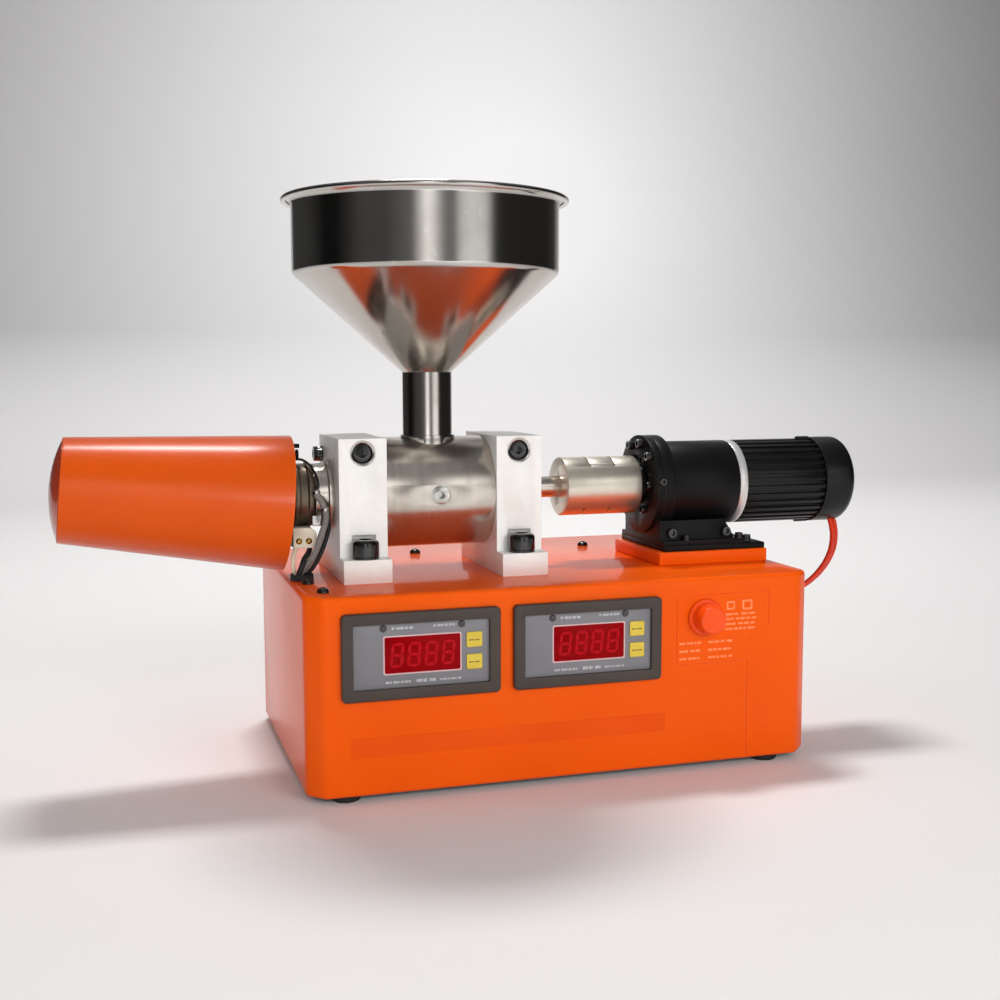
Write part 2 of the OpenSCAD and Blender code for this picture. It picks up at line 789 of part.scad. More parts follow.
// spider that carries the cover on the barrel, with the two studs of its clamp
module cover_ring() {
    z = cover_z_open + 0.3;
    d = cover_d_open - 2 * cover_t - 2;
    color(black) difference() {
        union() {
            translate([cover_ring_x, axis_y, z]) rotate([0, 90, 0]) cylinder(h = cover_ring_t, d = d);
            translate([cover_ring_x, axis_y - 4.3, z + 36]) rotate([0, 90, 0]) cylinder(h = 16.6, d = 2.8);
            translate([cover_ring_x, axis_y - 4.3, z + 30.6]) rotate([0, 90, 0]) {
                cylinder(h = 15, d = 3);
                translate([0, 0, 14.2]) cylinder(h = 1.6, d = 6.4);
            }
        }
        along_x(cover_ring_x - 1, cover_ring_t + 2, barrel_d);
        for (a = ring_holes) translate([cover_ring_x - 1, axis_y + 28 * sin(a), axis_z - 4 + 28 * cos(a)])
            rotate([0, 90, 0]) cylinder(h = cover_ring_t + 2, d = 15);
    }
}

// ---------- cables ----------

module cable_grommets() {
    color(black) {
        translate([grommet_at[0], grommet_at[1], cabinet_top]) difference() {
            cylinder(h = 4, d1 = grommet_d, d2 = grommet_d - 1);
            translate([0, 0, 1.5]) cylinder(h = 3, d = grommet_bore);
        }
        translate([cabinet_w, gland_y, gland_z]) rotate([0, 90, 0]) cylinder(h = gland_l, d = 15);
    }
}

module sleeved_cable() { color([0.55, 0.52, 0.50]) cable(smooth(sleeve_route, 3), 2, 10); }
module cream_wire() { color([0.90, 0.84, 0.72]) cable(smooth(cream_route, 3), 1.2); }

module black_cable() {
    color(black) {
        cable(smooth(loop_route, 4), 0.8);
        cable(smooth(return_route, 3), 1.4);
        cable(smooth(supply_route, 3), 1.7);
    }
}

module motor_leads() {
    color([0.85, 0.13, 0.08]) for (side = [-1, 1]) cable(smooth(lead_line(side), 3), lead_r);
}

// ---------- gearmotor ----------

module riser_block() {
    color(orange) translate([riser_x, axis_y - riser_d / 2, cabinet_top]) cube([riser_l, riser_d, riser_h]);
}

module motor_base() {
    color(black) translate([base_x, axis_y - base_d / 2, base_z]) cube([base_l, base_d, base_t]);
}

module motor_bracket() {
    slope_l = 7;
    gusset_l = bracket_l - 6;
    color(black) difference() {
        union() {
            along_x(flange_x, flange_t, flange_d);
            translate([bracket_x, axis_y - 36, bracket_z]) cube([bracket_l, 72, bracket_foot_t]);
            // upright behind the round plate, between the gussets
            translate([bracket_x, axis_y - gusset_y, bracket_z])
                cube([flange_x + flange_t - bracket_x, 2 * gusset_y, gusset_h]);
            for (y = [axis_y - gusset_y, axis_y + gusset_y - 4]) translate([bracket_x, y + 4, bracket_z])
                rotate([90, 0, 0]) linear_extrude(4)
                    polygon([[0, 0], [gusset_l, 0], [gusset_l, 5], [gusset_l - slope_l, gusset_h], [0, gusset_h]]);
        }
        // the gearbox nose and body
        along_x(flange_x - 1, flange_t + 2, nose_d);
        along_x(flange_x + flange_t, 70, motor_d + 0.2);
        along_x(flange_x + flange_t, gear_flange_t + 0.2, flange_d + 0.2);
        rim_screw_at() cylinder(h = 4, d = 5.1);
    }
}

// seat of the screw in the round plate's edge
module rim_screw_at() {
    translate([flange_x + 2.8, axis_y - flange_d / 2 + 1.2, axis_z + 4]) rotate([90, 0, 0]) children();
}

module bracket_bolts() {
    color(black) {
        for (a = [24, 315, 350]) translate([flange_x, axis_y + 28.5 * sin(a), axis_z + 28.5 * cos(a)])
            rotate([0, -90, 0]) socket_head(6.4, 3.8);
        // screws of the gearbox's nose
        for (a = [31 : 60 : 359]) translate([flange_x, axis_y + 19.6 * sin(a), axis_z + 19.6 * cos(a)])
            rotate([0, -90, 0]) socket_head(5.2, 2.8);
        rim_screw_at() socket_head(5, 3.8);
        for (x = [bracket_x + 17.8, bracket_x + 56.8]) for (side = [-1, 1])
            translate([x, axis_y + side * 33, bracket_z + bracket_foot_t]) socket_head(5.4, 3.6);
        for (side = [-1, 1]) translate([base_x + base_l - 9.4, axis_y + side * 28, bracket_z]) socket_head(6.4, 4.4);
        for (x = [bracket_x + 8, bracket_x + 47.9]) for (side = [-1, 1])
            translate([x, axis_y + side * gusset_y, bracket_z + 7.9])
                rotate([-90 * side, 0, 0]) socket_head(6.8, 3);
    }
}

module gearbox() {
    color(black) difference() {
        union() {
            along_x(flange_x + flange_t, gear_flange_t, flange_d);
            // narrow gap between the flange and the housing
            along_x(gearbox_x, 1, motor_d - 2.4);
            along_x(gearbox_x + 1, gearbox_l - 1, motor_d);
            along_x(flange_x - 1.5, flange_t + 2, nose_d);
        }
        along_x(flange_x - 3, gearbox_x - flange_x + 2, shaft_d + 2 * running_gap);
    }
}

module gearbox_ring() {
    color([0.72, 0.72, 0.72]) along_x(ring_x, ring_l, motor_d);
}

module motor_body() {
    color(black) difference() {
        translate([motor_x, axis_y, axis_z]) rotate([0, 90, 0]) linear_extrude(motor_l) {
            circle(d = motor_d - 4);
            for (i = [0 : rib_count - 1]) rotate(360 / rib_count * (i + 0.5))
                translate([0, -rib_w / 2]) square([motor_d / 2, rib_w]);
        }
        cap_lugs(lug_d + 0.8, lug_l + 0.4);
    }
}

module motor_cap() {
    r = cap_d / 2;
    edge = 6;
    color(black) {
        turned_x(cap_x) polygon(concat(
            [[0, 0], [r, 0]],
            [for (a = [0 : 10 : 90]) [r - edge + edge * cos(a), cap_l - edge + edge * sin(a)]],
            [[0, cap_l]]
        ));
        cap_lugs(lug_d, lug_l);
    }
}

// lugs of the long screws that hold the cap, reaching over the ribs
module cap_lugs(d, reach) {
    for (a = [0, 180])
        translate([cap_x - reach, axis_y + (cap_d / 2 - 2.6) * sin(a), axis_z + (cap_d / 2 - 2.6) * cos(a)])
            rotate([0, 90, 0]) cylinder(h = reach + 1, d = d, $fn = 32);
}

// ---------- assembly, centred on the origin ----------

module centred() { translate(-centre) children(); }

centred() cabinet();
centred() base_plate();
centred() feet();
centred() cabinet_screws();
centred() left_bezel();
centred() left_face();
centred() left_window();
centred() left_keys();
centred() right_bezel();
centred() right_face();
centred() right_window();
centred() right_keys();
centred() knob_collar();
centred() speed_knob();
centred() left_block();
centred() right_block();
centred() block_screws();
centred() feed_housing();
centred() housing_plug();
centred() throat_tube();
centred() hopper();
centred() extruder_screw();
centred() drive_shafts();
centred() shaft_coupling();
centred() hot_barrel();
centred() barrel_collar();
centred() heater_bands();
centred() terminal_block();
centred() nozzle();
centred() heater_cover();
centred() cover_end();
centred() cover_ring();
centred() cable_grommets();
centred() sleeved_cable();
centred() black_cable();
centred() cream_wire();
centred() riser_block();
centred() motor_base();
centred() motor_bracket();
centred() bracket_bolts();
centred() gearbox();
centred() gearbox_ring();
centred() motor_body();
centred() motor_cap();
centred() motor_leads();
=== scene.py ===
# Bench-top filament extruder: orange cabinet, feed housing with hopper, heated barrel, gearmotor
import math
import bpy
from mathutils import Euler, Matrix, Vector


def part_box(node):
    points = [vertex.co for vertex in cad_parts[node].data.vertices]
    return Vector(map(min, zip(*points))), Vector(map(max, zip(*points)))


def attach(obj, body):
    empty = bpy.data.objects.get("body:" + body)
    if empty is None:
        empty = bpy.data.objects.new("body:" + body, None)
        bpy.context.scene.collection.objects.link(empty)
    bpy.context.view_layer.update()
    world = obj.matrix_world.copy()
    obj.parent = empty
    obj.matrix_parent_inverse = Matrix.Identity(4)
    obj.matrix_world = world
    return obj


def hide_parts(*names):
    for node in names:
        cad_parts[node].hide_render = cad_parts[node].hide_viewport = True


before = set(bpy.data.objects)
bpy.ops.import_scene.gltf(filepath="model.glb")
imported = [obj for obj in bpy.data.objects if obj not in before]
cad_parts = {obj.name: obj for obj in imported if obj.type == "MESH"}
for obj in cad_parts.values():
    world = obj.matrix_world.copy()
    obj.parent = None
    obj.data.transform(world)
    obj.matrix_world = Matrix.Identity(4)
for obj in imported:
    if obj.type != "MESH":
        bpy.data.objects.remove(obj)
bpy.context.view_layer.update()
scene = bpy.context.scene
scene.view_settings.view_transform = "Standard"

cabinetLow, cabinetHigh = [Vector(p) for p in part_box("cabinet")]
benchCorner = Vector((cabinetLow.x, cabinetLow.y, 0.0))  # under the cabinet's left front corner
mm = 0.001
tiny = 1e-6  # metres within which two places are the same


def at(x, y, z):
    # a place in millimetres from the cabinet's left front corner, on the bench
    return benchCorner + Vector((x, y, z)) * mm


def boxOf(node):
    low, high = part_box(node)
    return Vector(low), Vector(high)


barrelLow, barrelHigh = boxOf("hot_barrel")
axisY = (barrelLow.y + barrelHigh.y) / 2 - benchCorner.y
axisZ = (barrelLow.z + barrelHigh.z) / 2
axisY, axisZ = axisY / mm, axisZ / mm
cabinetTop = cabinetHigh.z / mm


# camera

camera = {
    "place": (-107.25, -726.71, 254.53),
    "turnRight": 0.2988,
    "tiltUp": -0.10198,
    "roll": -0.0026,
    "lens": 46.447,
}


def addCamera(c):
    bpy.ops.object.camera_add(location=at(*c["place"]))
    cam = bpy.context.object
    forward = Vector((math.sin(c["turnRight"]) * math.cos(c["tiltUp"]),
                      math.cos(c["turnRight"]) * math.cos(c["tiltUp"]), math.sin(c["tiltUp"])))
    right = Vector((math.cos(c["turnRight"]), -math.sin(c["turnRight"]), 0))
    up = right.cross(forward)
    rolledRight = right * math.cos(c["roll"]) + up * math.sin(c["roll"])
    rolledUp = up * math.cos(c["roll"]) - right * math.sin(c["roll"])
    turn = Matrix((rolledRight, rolledUp, -forward)).transposed()
    cam.rotation_euler = turn.to_euler()
    cam.data.lens = c["lens"]
    cam.data.sensor_width = 36
    cam.data.clip_start = 0.01
    scene.camera = cam


addCamera(camera)


# materials

def rgb(red, green, blue):
    # a colour as it looks on the screen, made linear for the shader
    parts = []
    for part in (red / 255, green / 255, blue / 255):
        parts.append(part / 12.92 if part <= 0.04045 else ((part + 0.055) / 1.055) ** 2.4)
    return (*parts, 1.0)


def addNode(tree, kind, **inputs):
    node = tree.nodes.new(kind)
    for name, value in inputs.items():
        node.inputs[name].default_value = value
    return node


def wire(tree, value, socket):
    # a socket takes another node's output or a plain value
    if isinstance(value, bpy.types.NodeSocket):
        tree.links.new(value, socket)
    else:
        socket.default_value = value


def addMix(tree, share, first, second, blend="MIX"):
    node = tree.nodes.new("ShaderNodeMix")
    node.data_type = "RGBA"
    node.blend_type = blend
    for spot, value in ((0, share), (6, first), (7, second)):
        wire(tree, value, node.inputs[spot])
    return node.outputs[2]


def addMath(tree, operation, *values):
    node = tree.nodes.new("ShaderNodeMath")
    node.operation = operation
    for socket, value in zip(node.inputs, values):
        wire(tree, value, socket)
    return node.outputs["Value"]


def addRange(tree, value, low, high, toLow=0.0, toHigh=1.0):
    node = addNode(tree, "ShaderNodeMapRange", **{
        "From Min": low, "From Max": high, "To Min": toLow, "To Max": toHigh})
    tree.links.new(value, node.inputs["Value"])
    return node.outputs["Result"]


def addNoise(tree, vector, **settings):
    node = addNode(tree, "ShaderNodeTexNoise", **settings)
    tree.links.new(vector, node.inputs["Vector"])
    return node.outputs["Fac"]


def addBump(tree, height, strength, distance, shader):
    bump = addNode(tree, "ShaderNodeBump", Strength=strength, Distance=distance * mm)
    tree.links.new(height, bump.inputs["Height"])
    tree.links.new(bump.outputs["Normal"], shader.inputs["Normal"])


# the span of a noise that carries most of its change
noiseLow, noiseHigh = 0.3, 0.7
paleDust = (0.8, 0.8, 0.8, 1)
black = (0, 0, 0, 1)
plainSockets = (  # each socket's name, the word for it in a look, and its plain value
    ("Metallic", "metal", 0.0), ("Specular IOR Level", "specular", 0.5), ("Coat Weight", "coat", 0.0),
    ("Coat Roughness", "coatRoughness", 0.15), ("Coat IOR", "coatIor", 1.5), ("Emission Strength", "glow", 0.0),
    ("Emission Color", "glowColour", black),
)


def makeFinish(name, look):
    material = bpy.data.materials.new(name)
    material.use_nodes = True
    tree = material.node_tree
    shader = tree.nodes["Principled BSDF"]
    for socket, word, plain in plainSockets:
        shader.inputs[socket].default_value = look.get(word, plain)
    place = tree.nodes.new("ShaderNodeTexCoord").outputs["Object"]

    # broad patches that vary the colour and the gloss
    patches = addNoise(tree, place, Scale=look.get("patch", 25.0), Detail=4.0, Roughness=0.6)
    spread = addRange(tree, patches, noiseLow, noiseHigh)
    top = addMix(tree, spread, look["colour"], look.get("second", look["colour"]))

    # fine grain, stretched along the lines of a brushed or turned face
    fineness = look.get("grain", 900)
    stretch = addNode(tree, "ShaderNodeMapping", Scale=fineness if isinstance(fineness, tuple) else (fineness,) * 3)
    tree.links.new(place, stretch.inputs["Vector"])
    grain = addNoise(tree, stretch.outputs["Vector"], Scale=1.0, Detail=look.get("grainDetail", 3.0), Roughness=0.65)
    if look.get("grainColour"):
        darkest = 0.35
        lift = addRange(tree, grain, noiseLow, 0.6, darkest)
        top = addMix(tree, look["grainColour"], top, lift, "MULTIPLY")

    # small marks and specks of dust
    if look.get("specks"):
        spots = addNoise(tree, place, Scale=look.get("speckSize", 420.0), Detail=2.0, Distortion=0.8)
        few = addRange(tree, spots, look.get("speckFrom", 0.69), 0.76)
        top = addMix(tree, addMath(tree, "MULTIPLY", few, look["specks"]), top, look.get("speckColour", paleDust))

    # edges: the colour changes where the surface turns sharply, partly wear and partly a painted highlight along the
    # edge
    if look.get("edge"):
        rounded = addNode(tree, "ShaderNodeBevel", Radius=look.get("edgeWidth", 0.8) * mm)
        rounded.samples = 4
        flat = tree.nodes.new("ShaderNodeNewGeometry")
        likeness = tree.nodes.new("ShaderNodeVectorMath")
        likeness.operation = "DOT_PRODUCT"
        tree.links.new(rounded.outputs["Normal"], likeness.inputs[0])
        tree.links.new(flat.outputs["Normal"], likeness.inputs[1])
        turned = addRange(tree, likeness.outputs["Value"], 0.995, 0.93)
        share = addMath(tree, "MULTIPLY", addMath(tree, "MULTIPLY", turned, spread), look["edge"])
        top = addMix(tree, share, top, look.get("edgeColour", paleDust))
    tree.links.new(top, shader.inputs["Base Color"])

    # gloss that varies with the patches and the grain
    low, high = look.get("roughness", (0.35, 0.45))
    grainGloss = look.get("grainGloss", 0.35)
    both = addMath(tree, "MULTIPLY_ADD", grain, grainGloss, addMath(tree, "MULTIPLY", patches, 1 - grainGloss))
    tree.links.new(addRange(tree, both, noiseLow, noiseHigh, low, high), shader.inputs["Roughness"])
    addBump(tree, grain, look.get("bump", 0.1), look.get("bumpDepth", 0.1), shader)
    return material


# a look's edge and edgeColour give its edges another colour: partly wear, partly a painted highlight
looks = {
    "orangePaint": {
        "colour": rgb(246, 94, 5), "second": rgb(238, 86, 4), "patch": 9, "roughness": (0.34, 0.46),
        "specular": 0.06, "coat": 0.65, "coatIor": 1.2, "coatRoughness": 0.09,
        "grain": 700, "bump": 0.18, "bumpDepth": 0.1, "edge": 0.35, "edgeColour": rgb(255, 140, 70),
        "specks": 0.25, "speckColour": rgb(255, 150, 95), "speckSize": 260, "speckFrom": 0.73,
    },
    "coverPaint": {
        "colour": rgb(206, 79, 3), "second": rgb(195, 71, 2), "patch": 12, "roughness": (0.36, 0.48),
        "specular": 0.05, "coat": 0.75, "coatIor": 1.3, "coatRoughness": 0.24,
        "grain": 600, "grainDetail": 2.0, "grainColour": 0.07, "bump": 0.9, "bumpDepth": 0.26,
        "edge": 0.4, "edgeColour": rgb(255, 140, 70), "edgeWidth": 1.0,
    },
    # the dome's paint is the cover's orange with painted shade and a painted dark reflection in it
    "domePaintedShade": {
        "colour": rgb(188, 60, 14), "second": rgb(172, 50, 10), "patch": 12, "roughness": (0.2, 0.3),
        "specular": 0.1, "coat": 0.8, "coatIor": 1.25, "coatRoughness": 0.06,
        "grain": 520, "bump": 0.1, "bumpDepth": 0.1,
    },
    "blackPaint": {
        "colour": rgb(19, 18, 19), "second": rgb(14, 13, 14), "patch": 30, "roughness": (0.3, 0.42),
        "specular": 0.16,
        "grain": 1400, "bump": 0.12, "bumpDepth": 0.06, "edge": 0.5, "edgeColour": rgb(95, 93, 92),
        "edgeWidth": 0.5, "specks": 0.4, "speckColour": rgb(100, 98, 95), "speckSize": 500, "speckFrom": 0.74,
    },
    "ribPaint": {
        "colour": rgb(14, 14, 15), "second": rgb(10, 10, 11), "patch": 30, "roughness": (0.26, 0.38),
        "specular": 0.3,
        "grain": 1400, "bump": 0.15, "bumpDepth": 0.06, "edge": 0.5, "edgeColour": rgb(90, 89, 88),
        "edgeWidth": 0.5,
    },
    "blackSteel": {
        "colour": rgb(46, 45, 44), "second": rgb(34, 33, 32), "patch": 60, "metal": 0.8,
        "roughness": (0.1, 0.18), "coat": 1.0, "coatRoughness": 0.07,
        "grain": 1600, "bump": 0.08, "bumpDepth": 0.05,
        "edge": 0.4, "edgeColour": rgb(96, 93, 90), "edgeWidth": 0.3,
    },
    "footRubber": {
        "colour": rgb(30, 30, 31), "second": rgb(22, 22, 23), "patch": 60, "roughness": (0.6, 0.75),
        "grain": 1600, "bump": 0.3, "bumpDepth": 0.1,
    },
    "bezelPlastic": {
        "colour": rgb(70, 60, 54), "second": rgb(60, 51, 46), "patch": 25, "roughness": (0.3, 0.4),
        "specular": 0.4,
        "grain": 2200, "bump": 0.2, "bumpDepth": 0.06, "edge": 0.5, "edgeColour": rgb(128, 108, 96),
        "edgeWidth": 0.5,
    },
    "faceFilm": {
        "colour": rgb(132, 131, 135), "second": rgb(123, 122, 126), "patch": 20, "roughness": (0.38, 0.46),
        "specular": 0.3, "grain": 2600, "bump": 0.15, "bumpDepth": 0.05, "grainColour": 0.08,
    },
    # the red window and its digits carry a faint painted glow, as if lit from within
    "windowRed": {
        "colour": rgb(146, 1, 8), "second": rgb(130, 1, 7), "patch": 30, "roughness": (0.12, 0.2),
        "specular": 0.06,
        "grain": 900, "bump": 0.02, "bumpDepth": 0.05, "glow": 0.03, "glowColour": rgb(200, 4, 12),
    },
    "digitRed": {
        "colour": rgb(180, 4, 17), "second": rgb(166, 3, 14), "patch": 60, "roughness": (0.14, 0.22),
        "specular": 0.12,
        "grain": 900, "bump": 0.02, "bumpDepth": 0.05, "glow": 0.04, "glowColour": rgb(240, 20, 30),
    },
    "windowEdge": {
        "colour": rgb(226, 186, 188), "second": rgb(214, 172, 176), "patch": 60, "roughness": (0.4, 0.5),
        "grain": 1500, "bump": 0.1, "bumpDepth": 0.04,
    },
    "whitePrint": {
        "colour": rgb(196, 195, 195), "second": rgb(160, 159, 161), "patch": 500, "roughness": (0.5, 0.6),
        "grain": 1500, "bump": 0.1, "bumpDepth": 0.04,
    },
    "palePrint": {
        "colour": rgb(255, 150, 92), "second": rgb(248, 122, 58), "patch": 200, "roughness": (0.4, 0.5),
        "grain": 1500, "bump": 0.1, "bumpDepth": 0.04,
    },
    "lampLens": {
        "colour": rgb(60, 50, 50), "second": rgb(44, 38, 38), "patch": 200, "roughness": (0.14, 0.22),
        "grain": 900, "bump": 0.05, "bumpDepth": 0.04, "coat": 0.6,
    },
    "keyYellow": {
        "colour": rgb(222, 196, 70), "second": rgb(212, 184, 58), "patch": 90, "roughness": (0.35, 0.45),
        "grain": 2000, "bump": 0.15, "bumpDepth": 0.05,
    },
    "keyPrint": {
        "colour": rgb(120, 96, 40), "second": rgb(104, 82, 34), "patch": 400, "roughness": (0.5, 0.6),
        "grain": 1500, "bump": 0.1, "bumpDepth": 0.04,
    },
    "knobPlastic": {
        "colour": rgb(250, 82, 12), "second": rgb(240, 74, 8), "patch": 60, "roughness": (0.28, 0.36),
        "specular": 0.2, "coat": 0.6, "coatIor": 1.35, "coatRoughness": 0.12,
        "grain": 1500, "bump": 0.12, "bumpDepth": 0.05,
    },
    "satinSteel": {
        "colour": rgb(251, 250, 247), "second": rgb(243, 241, 236), "patch": 40, "metal": 0.3,
        "roughness": (0.36, 0.5), "grain": (160, 160, 3200), "bump": 0.12, "bumpDepth": 0.05,
        "grainColour": 0.08, "edge": 0.5, "edgeColour": rgb(252, 250, 246), "edgeWidth": 0.6,
    },
    "turnedSteel": {
        "colour": rgb(224, 216, 206), "second": rgb(196, 186, 174), "patch": 24, "metal": 0.95,
        "roughness": (0.19, 0.27), "grain": (1200, 10, 10), "bump": 0.03, "bumpDepth": 0.05,
        "grainColour": 0.17, "grainDetail": 3.0,
    },
    "polishedSteel": {
        "colour": rgb(208, 205, 201), "second": rgb(190, 184, 177), "patch": 22, "metal": 1.0,
        "roughness": (0.10, 0.17), "grain": (30, 30, 2600), "bump": 0.08, "bumpDepth": 0.03,
        "specks": 0.3, "speckColour": rgb(236, 234, 230), "speckSize": 170, "speckFrom": 0.66,
    },
    "throatSteel": {
        "colour": rgb(206, 200, 194), "second": rgb(190, 183, 175), "patch": 40, "metal": 1.0,
        "roughness": (0.12, 0.22), "grain": (30, 30, 2600), "bump": 0.15, "bumpDepth": 0.04, "grainColour": 0.08,
    },
    "champagne": {
        "colour": rgb(236, 229, 214), "second": rgb(224, 216, 200), "patch": 50, "metal": 0.9,
        "roughness": (0.28, 0.35), "grain": (2600, 20, 20), "bump": 0.05, "bumpDepth": 0.05, "grainColour": 0.1,
    },
    "plainAluminium": {
        "colour": rgb(232, 231, 229), "second": rgb(218, 217, 215), "patch": 50, "metal": 0.6,
        "roughness": (0.28, 0.38), "grain": (3000, 60, 60), "bump": 0.2, "bumpDepth": 0.05, "grainColour": 0.15,
    },
    "bandSteel": {
        "colour": rgb(150, 138, 122), "second": rgb(112, 98, 84), "patch": 70, "metal": 1.0,
        "roughness": (0.3, 0.5), "grain": (900, 60, 60), "bump": 0.25, "bumpDepth": 0.08, "grainColour": 0.25,
    },
    "brightSteel": {
        "colour": rgb(214, 211, 206), "second": rgb(196, 192, 186), "patch": 90, "metal": 1.0,
        "roughness": (0.16, 0.26), "grain": 1200, "bump": 0.1, "bumpDepth": 0.04,
    },
    "ceramic": {
        "colour": rgb(226, 216, 196), "second": rgb(206, 192, 168), "patch": 120, "roughness": (0.4, 0.55),
        "grain": 1200, "bump": 0.2, "bumpDepth": 0.06, "specks": 0.4,
        "speckColour": rgb(140, 110, 80), "speckSize": 380, "speckFrom": 0.72,
    },
    "brass": {
        "colour": rgb(206, 168, 92), "second": rgb(184, 142, 70), "patch": 90, "metal": 1.0,
        "roughness": (0.2, 0.32), "grain": (1500, 90, 90), "bump": 0.12, "bumpDepth": 0.04,
    },
    "blackCable": {
        "colour": rgb(30, 29, 30), "second": rgb(22, 21, 22), "patch": 90, "roughness": (0.34, 0.46),
        "grain": 900, "bump": 0.15, "bumpDepth": 0.05,
    },
    "creamCable": {
        "colour": rgb(232, 222, 198), "second": rgb(214, 200, 172), "patch": 120, "roughness": (0.4, 0.52),
        "grain": 1200, "bump": 0.15, "bumpDepth": 0.05,
    },
    "leadRed": {
        "colour": rgb(216, 52, 12), "second": rgb(196, 40, 9), "patch": 60, "roughness": (0.2, 0.3),
        "specular": 0.2, "grain": 600, "bump": 0.1, "bumpDepth": 0.06, "coat": 0.4, "coatRoughness": 0.1,
    },
    "coneSteel": {
        "colour": rgb(206, 202, 196), "second": rgb(188, 181, 172), "patch": 26, "metal": 0.97,
        "roughness": (0.12, 0.19), "grain": (700, 700, 60), "bump": 0.12, "bumpDepth": 0.04,
        "grainColour": 0.12,
    },
    "labelFilm": {
        "colour": rgb(240, 86, 8), "second": rgb(232, 80, 6), "patch": 14, "roughness": (0.4, 0.5),
        "specular": 0.1, "coat": 0.3, "coatIor": 1.2, "coatRoughness": 0.2,
        "grain": 700, "bump": 0.1, "bumpDepth": 0.05, "edge": 0.5, "edgeColour": rgb(206, 62, 4),
        "edgeWidth": 0.7,
    },
}
finish = {name: makeFinish(name, look) for name, look in looks.items()}


def makeBraid(name, look):
    # crossed strands that follow the sleeve's own UV map
    material = bpy.data.materials.new(name)
    material.use_nodes = True
    tree = material.node_tree
    link = tree.links.new
    shader = tree.nodes["Principled BSDF"]
    shader.inputs["Roughness"].default_value = look["roughness"]
    place = tree.nodes.new("ShaderNodeUVMap")
    place.uv_map = "UVMap"
    heights = []
    for turn in (look["turn"], -look["turn"]):
        lay = tree.nodes.new("ShaderNodeMapping")
        lay.inputs["Rotation"].default_value = (0, 0, turn)
        lay.inputs["Scale"].default_value = (look["strands"], look["strands"], 1)
        link(place.outputs["UV"], lay.inputs["Vector"])
        wave = addNode(tree, "ShaderNodeTexWave", Scale=1.0, Distortion=0.6, Detail=1.0)
        link(lay.outputs["Vector"], wave.inputs["Vector"])
        heights.append(wave.outputs["Fac"])
    cross = addMath(tree, "MULTIPLY", *heights)
    link(addMix(tree, cross, look["dark"], look["light"]), shader.inputs["Base Color"])
    addBump(tree, cross, look["bump"], look["bumpDepth"], shader)
    return material


finish["braid"] = makeBraid("braid", {
    "dark": rgb(92, 86, 82), "light": rgb(212, 206, 200), "roughness": 0.5, "strands": 3.0, "turn": 0.785,
    "bump": 0.6, "bumpDepth": 0.15,
})
print("stage: finishes made")


# tools

def deselectAll():
    if bpy.context.object and bpy.context.object.mode != "OBJECT":
        bpy.ops.object.mode_set(mode="OBJECT")
    bpy.ops.object.select_all(action="DESELECT")


def pick(*objects):
    deselectAll()
    bpy.context.view_layer.update()
    for obj in objects:
        obj.select_set(True)
    bpy.context.view_layer.objects.active = objects[0]


def settle(obj):
    # puts the piece's place, turn and size into its mesh
    pick(obj)
    bpy.ops.object.transform_apply(location=True, rotation=True, scale=True)
    return obj


def addBlock(name, low, high):
    deselectAll()
    bpy.ops.mesh.primitive_cube_add(size=1, location=(low + high) / 2)
    obj = bpy.context.object
    obj.name = name
    obj.scale = high - low
    return settle(obj)


turns = {
    "X": (0, math.pi / 2, 0), "-X": (0, -math.pi / 2, 0), "Y": (-math.pi / 2, 0, 0),
    "-Y": (math.pi / 2, 0, 0), "Z": (0, 0, 0), "-Z": (math.pi, 0, 0),
}


def addRod(name, start, axis, length, radius, sides=48, endRadius=None):
    deselectAll()
    turn = Euler(turns[axis])
    way = turn.to_matrix() @ Vector((0, 0, 1))
    bpy.ops.mesh.primitive_cone_add(
        vertices=sides, radius1=radius * mm, radius2=(radius if endRadius is None else endRadius) * mm,
        depth=length * mm, location=start + way * length * mm / 2, rotation=turns[axis])
    obj = bpy.context.object
    obj.name = name
    return settle(obj)


def selectParts(obj, kind, test):
    # opens edit mode with the faces, edges or points that pass the test selected
    pick(obj)
    bpy.ops.object.mode_set(mode="EDIT")
    bpy.ops.mesh.select_mode(type=kind)
    bpy.ops.mesh.select_all(action="DESELECT")
    bpy.ops.object.mode_set(mode="OBJECT")
    mesh = obj.data
    parts = {"FACE": mesh.polygons, "EDGE": mesh.edges, "VERT": mesh.vertices}[kind]
    for part in parts:
        if kind == "EDGE":
            part.select = test(*[mesh.vertices[i].co for i in part.vertices])
        elif kind == "VERT":
            part.select = test(part.co)
        else:
            part.select = test(part)
    bpy.ops.object.mode_set(mode="EDIT")


def backToObject():
    bpy.ops.object.mode_set(mode="OBJECT")


def applyModifiers(obj):
    pick(obj)
    for modifier in list(obj.modifiers):
        bpy.ops.object.modifier_apply(modifier=modifier.name)


def bevelPiece(obj, width, segments=2, angle=30):
    modifier = obj.modifiers.new("bevel", "BEVEL")
    modifier.width = width * mm
    modifier.segments = segments
    modifier.limit_method = "ANGLE"
    modifier.angle_limit = math.radians(angle)
    modifier.use_clamp_overlap = True
    applyModifiers(obj)
    return obj


def roundCorners(obj, corner, segments):
    # rounds the edges that stand square on the front
    selectParts(obj, "EDGE", lambda a, b: abs(a.x - b.x) < tiny and abs(a.z - b.z) < tiny)
    bpy.ops.mesh.bevel(offset=corner * mm, segments=segments)
    backToObject()


def cut(obj, *cutters, operation="DIFFERENCE"):
    for cutter in cutters:
        modifier = obj.modifiers.new("cut", "BOOLEAN")
        modifier.object = cutter
        modifier.operation = operation
        modifier.solver = "EXACT"
        applyModifiers(obj)
        bpy.data.objects.remove(cutter)
    return obj


def joinAll(name, pieces):
    pick(*pieces)
    if len(pieces) > 1:
        bpy.ops.object.join()
    obj = bpy.context.object
    obj.name = name
    return obj


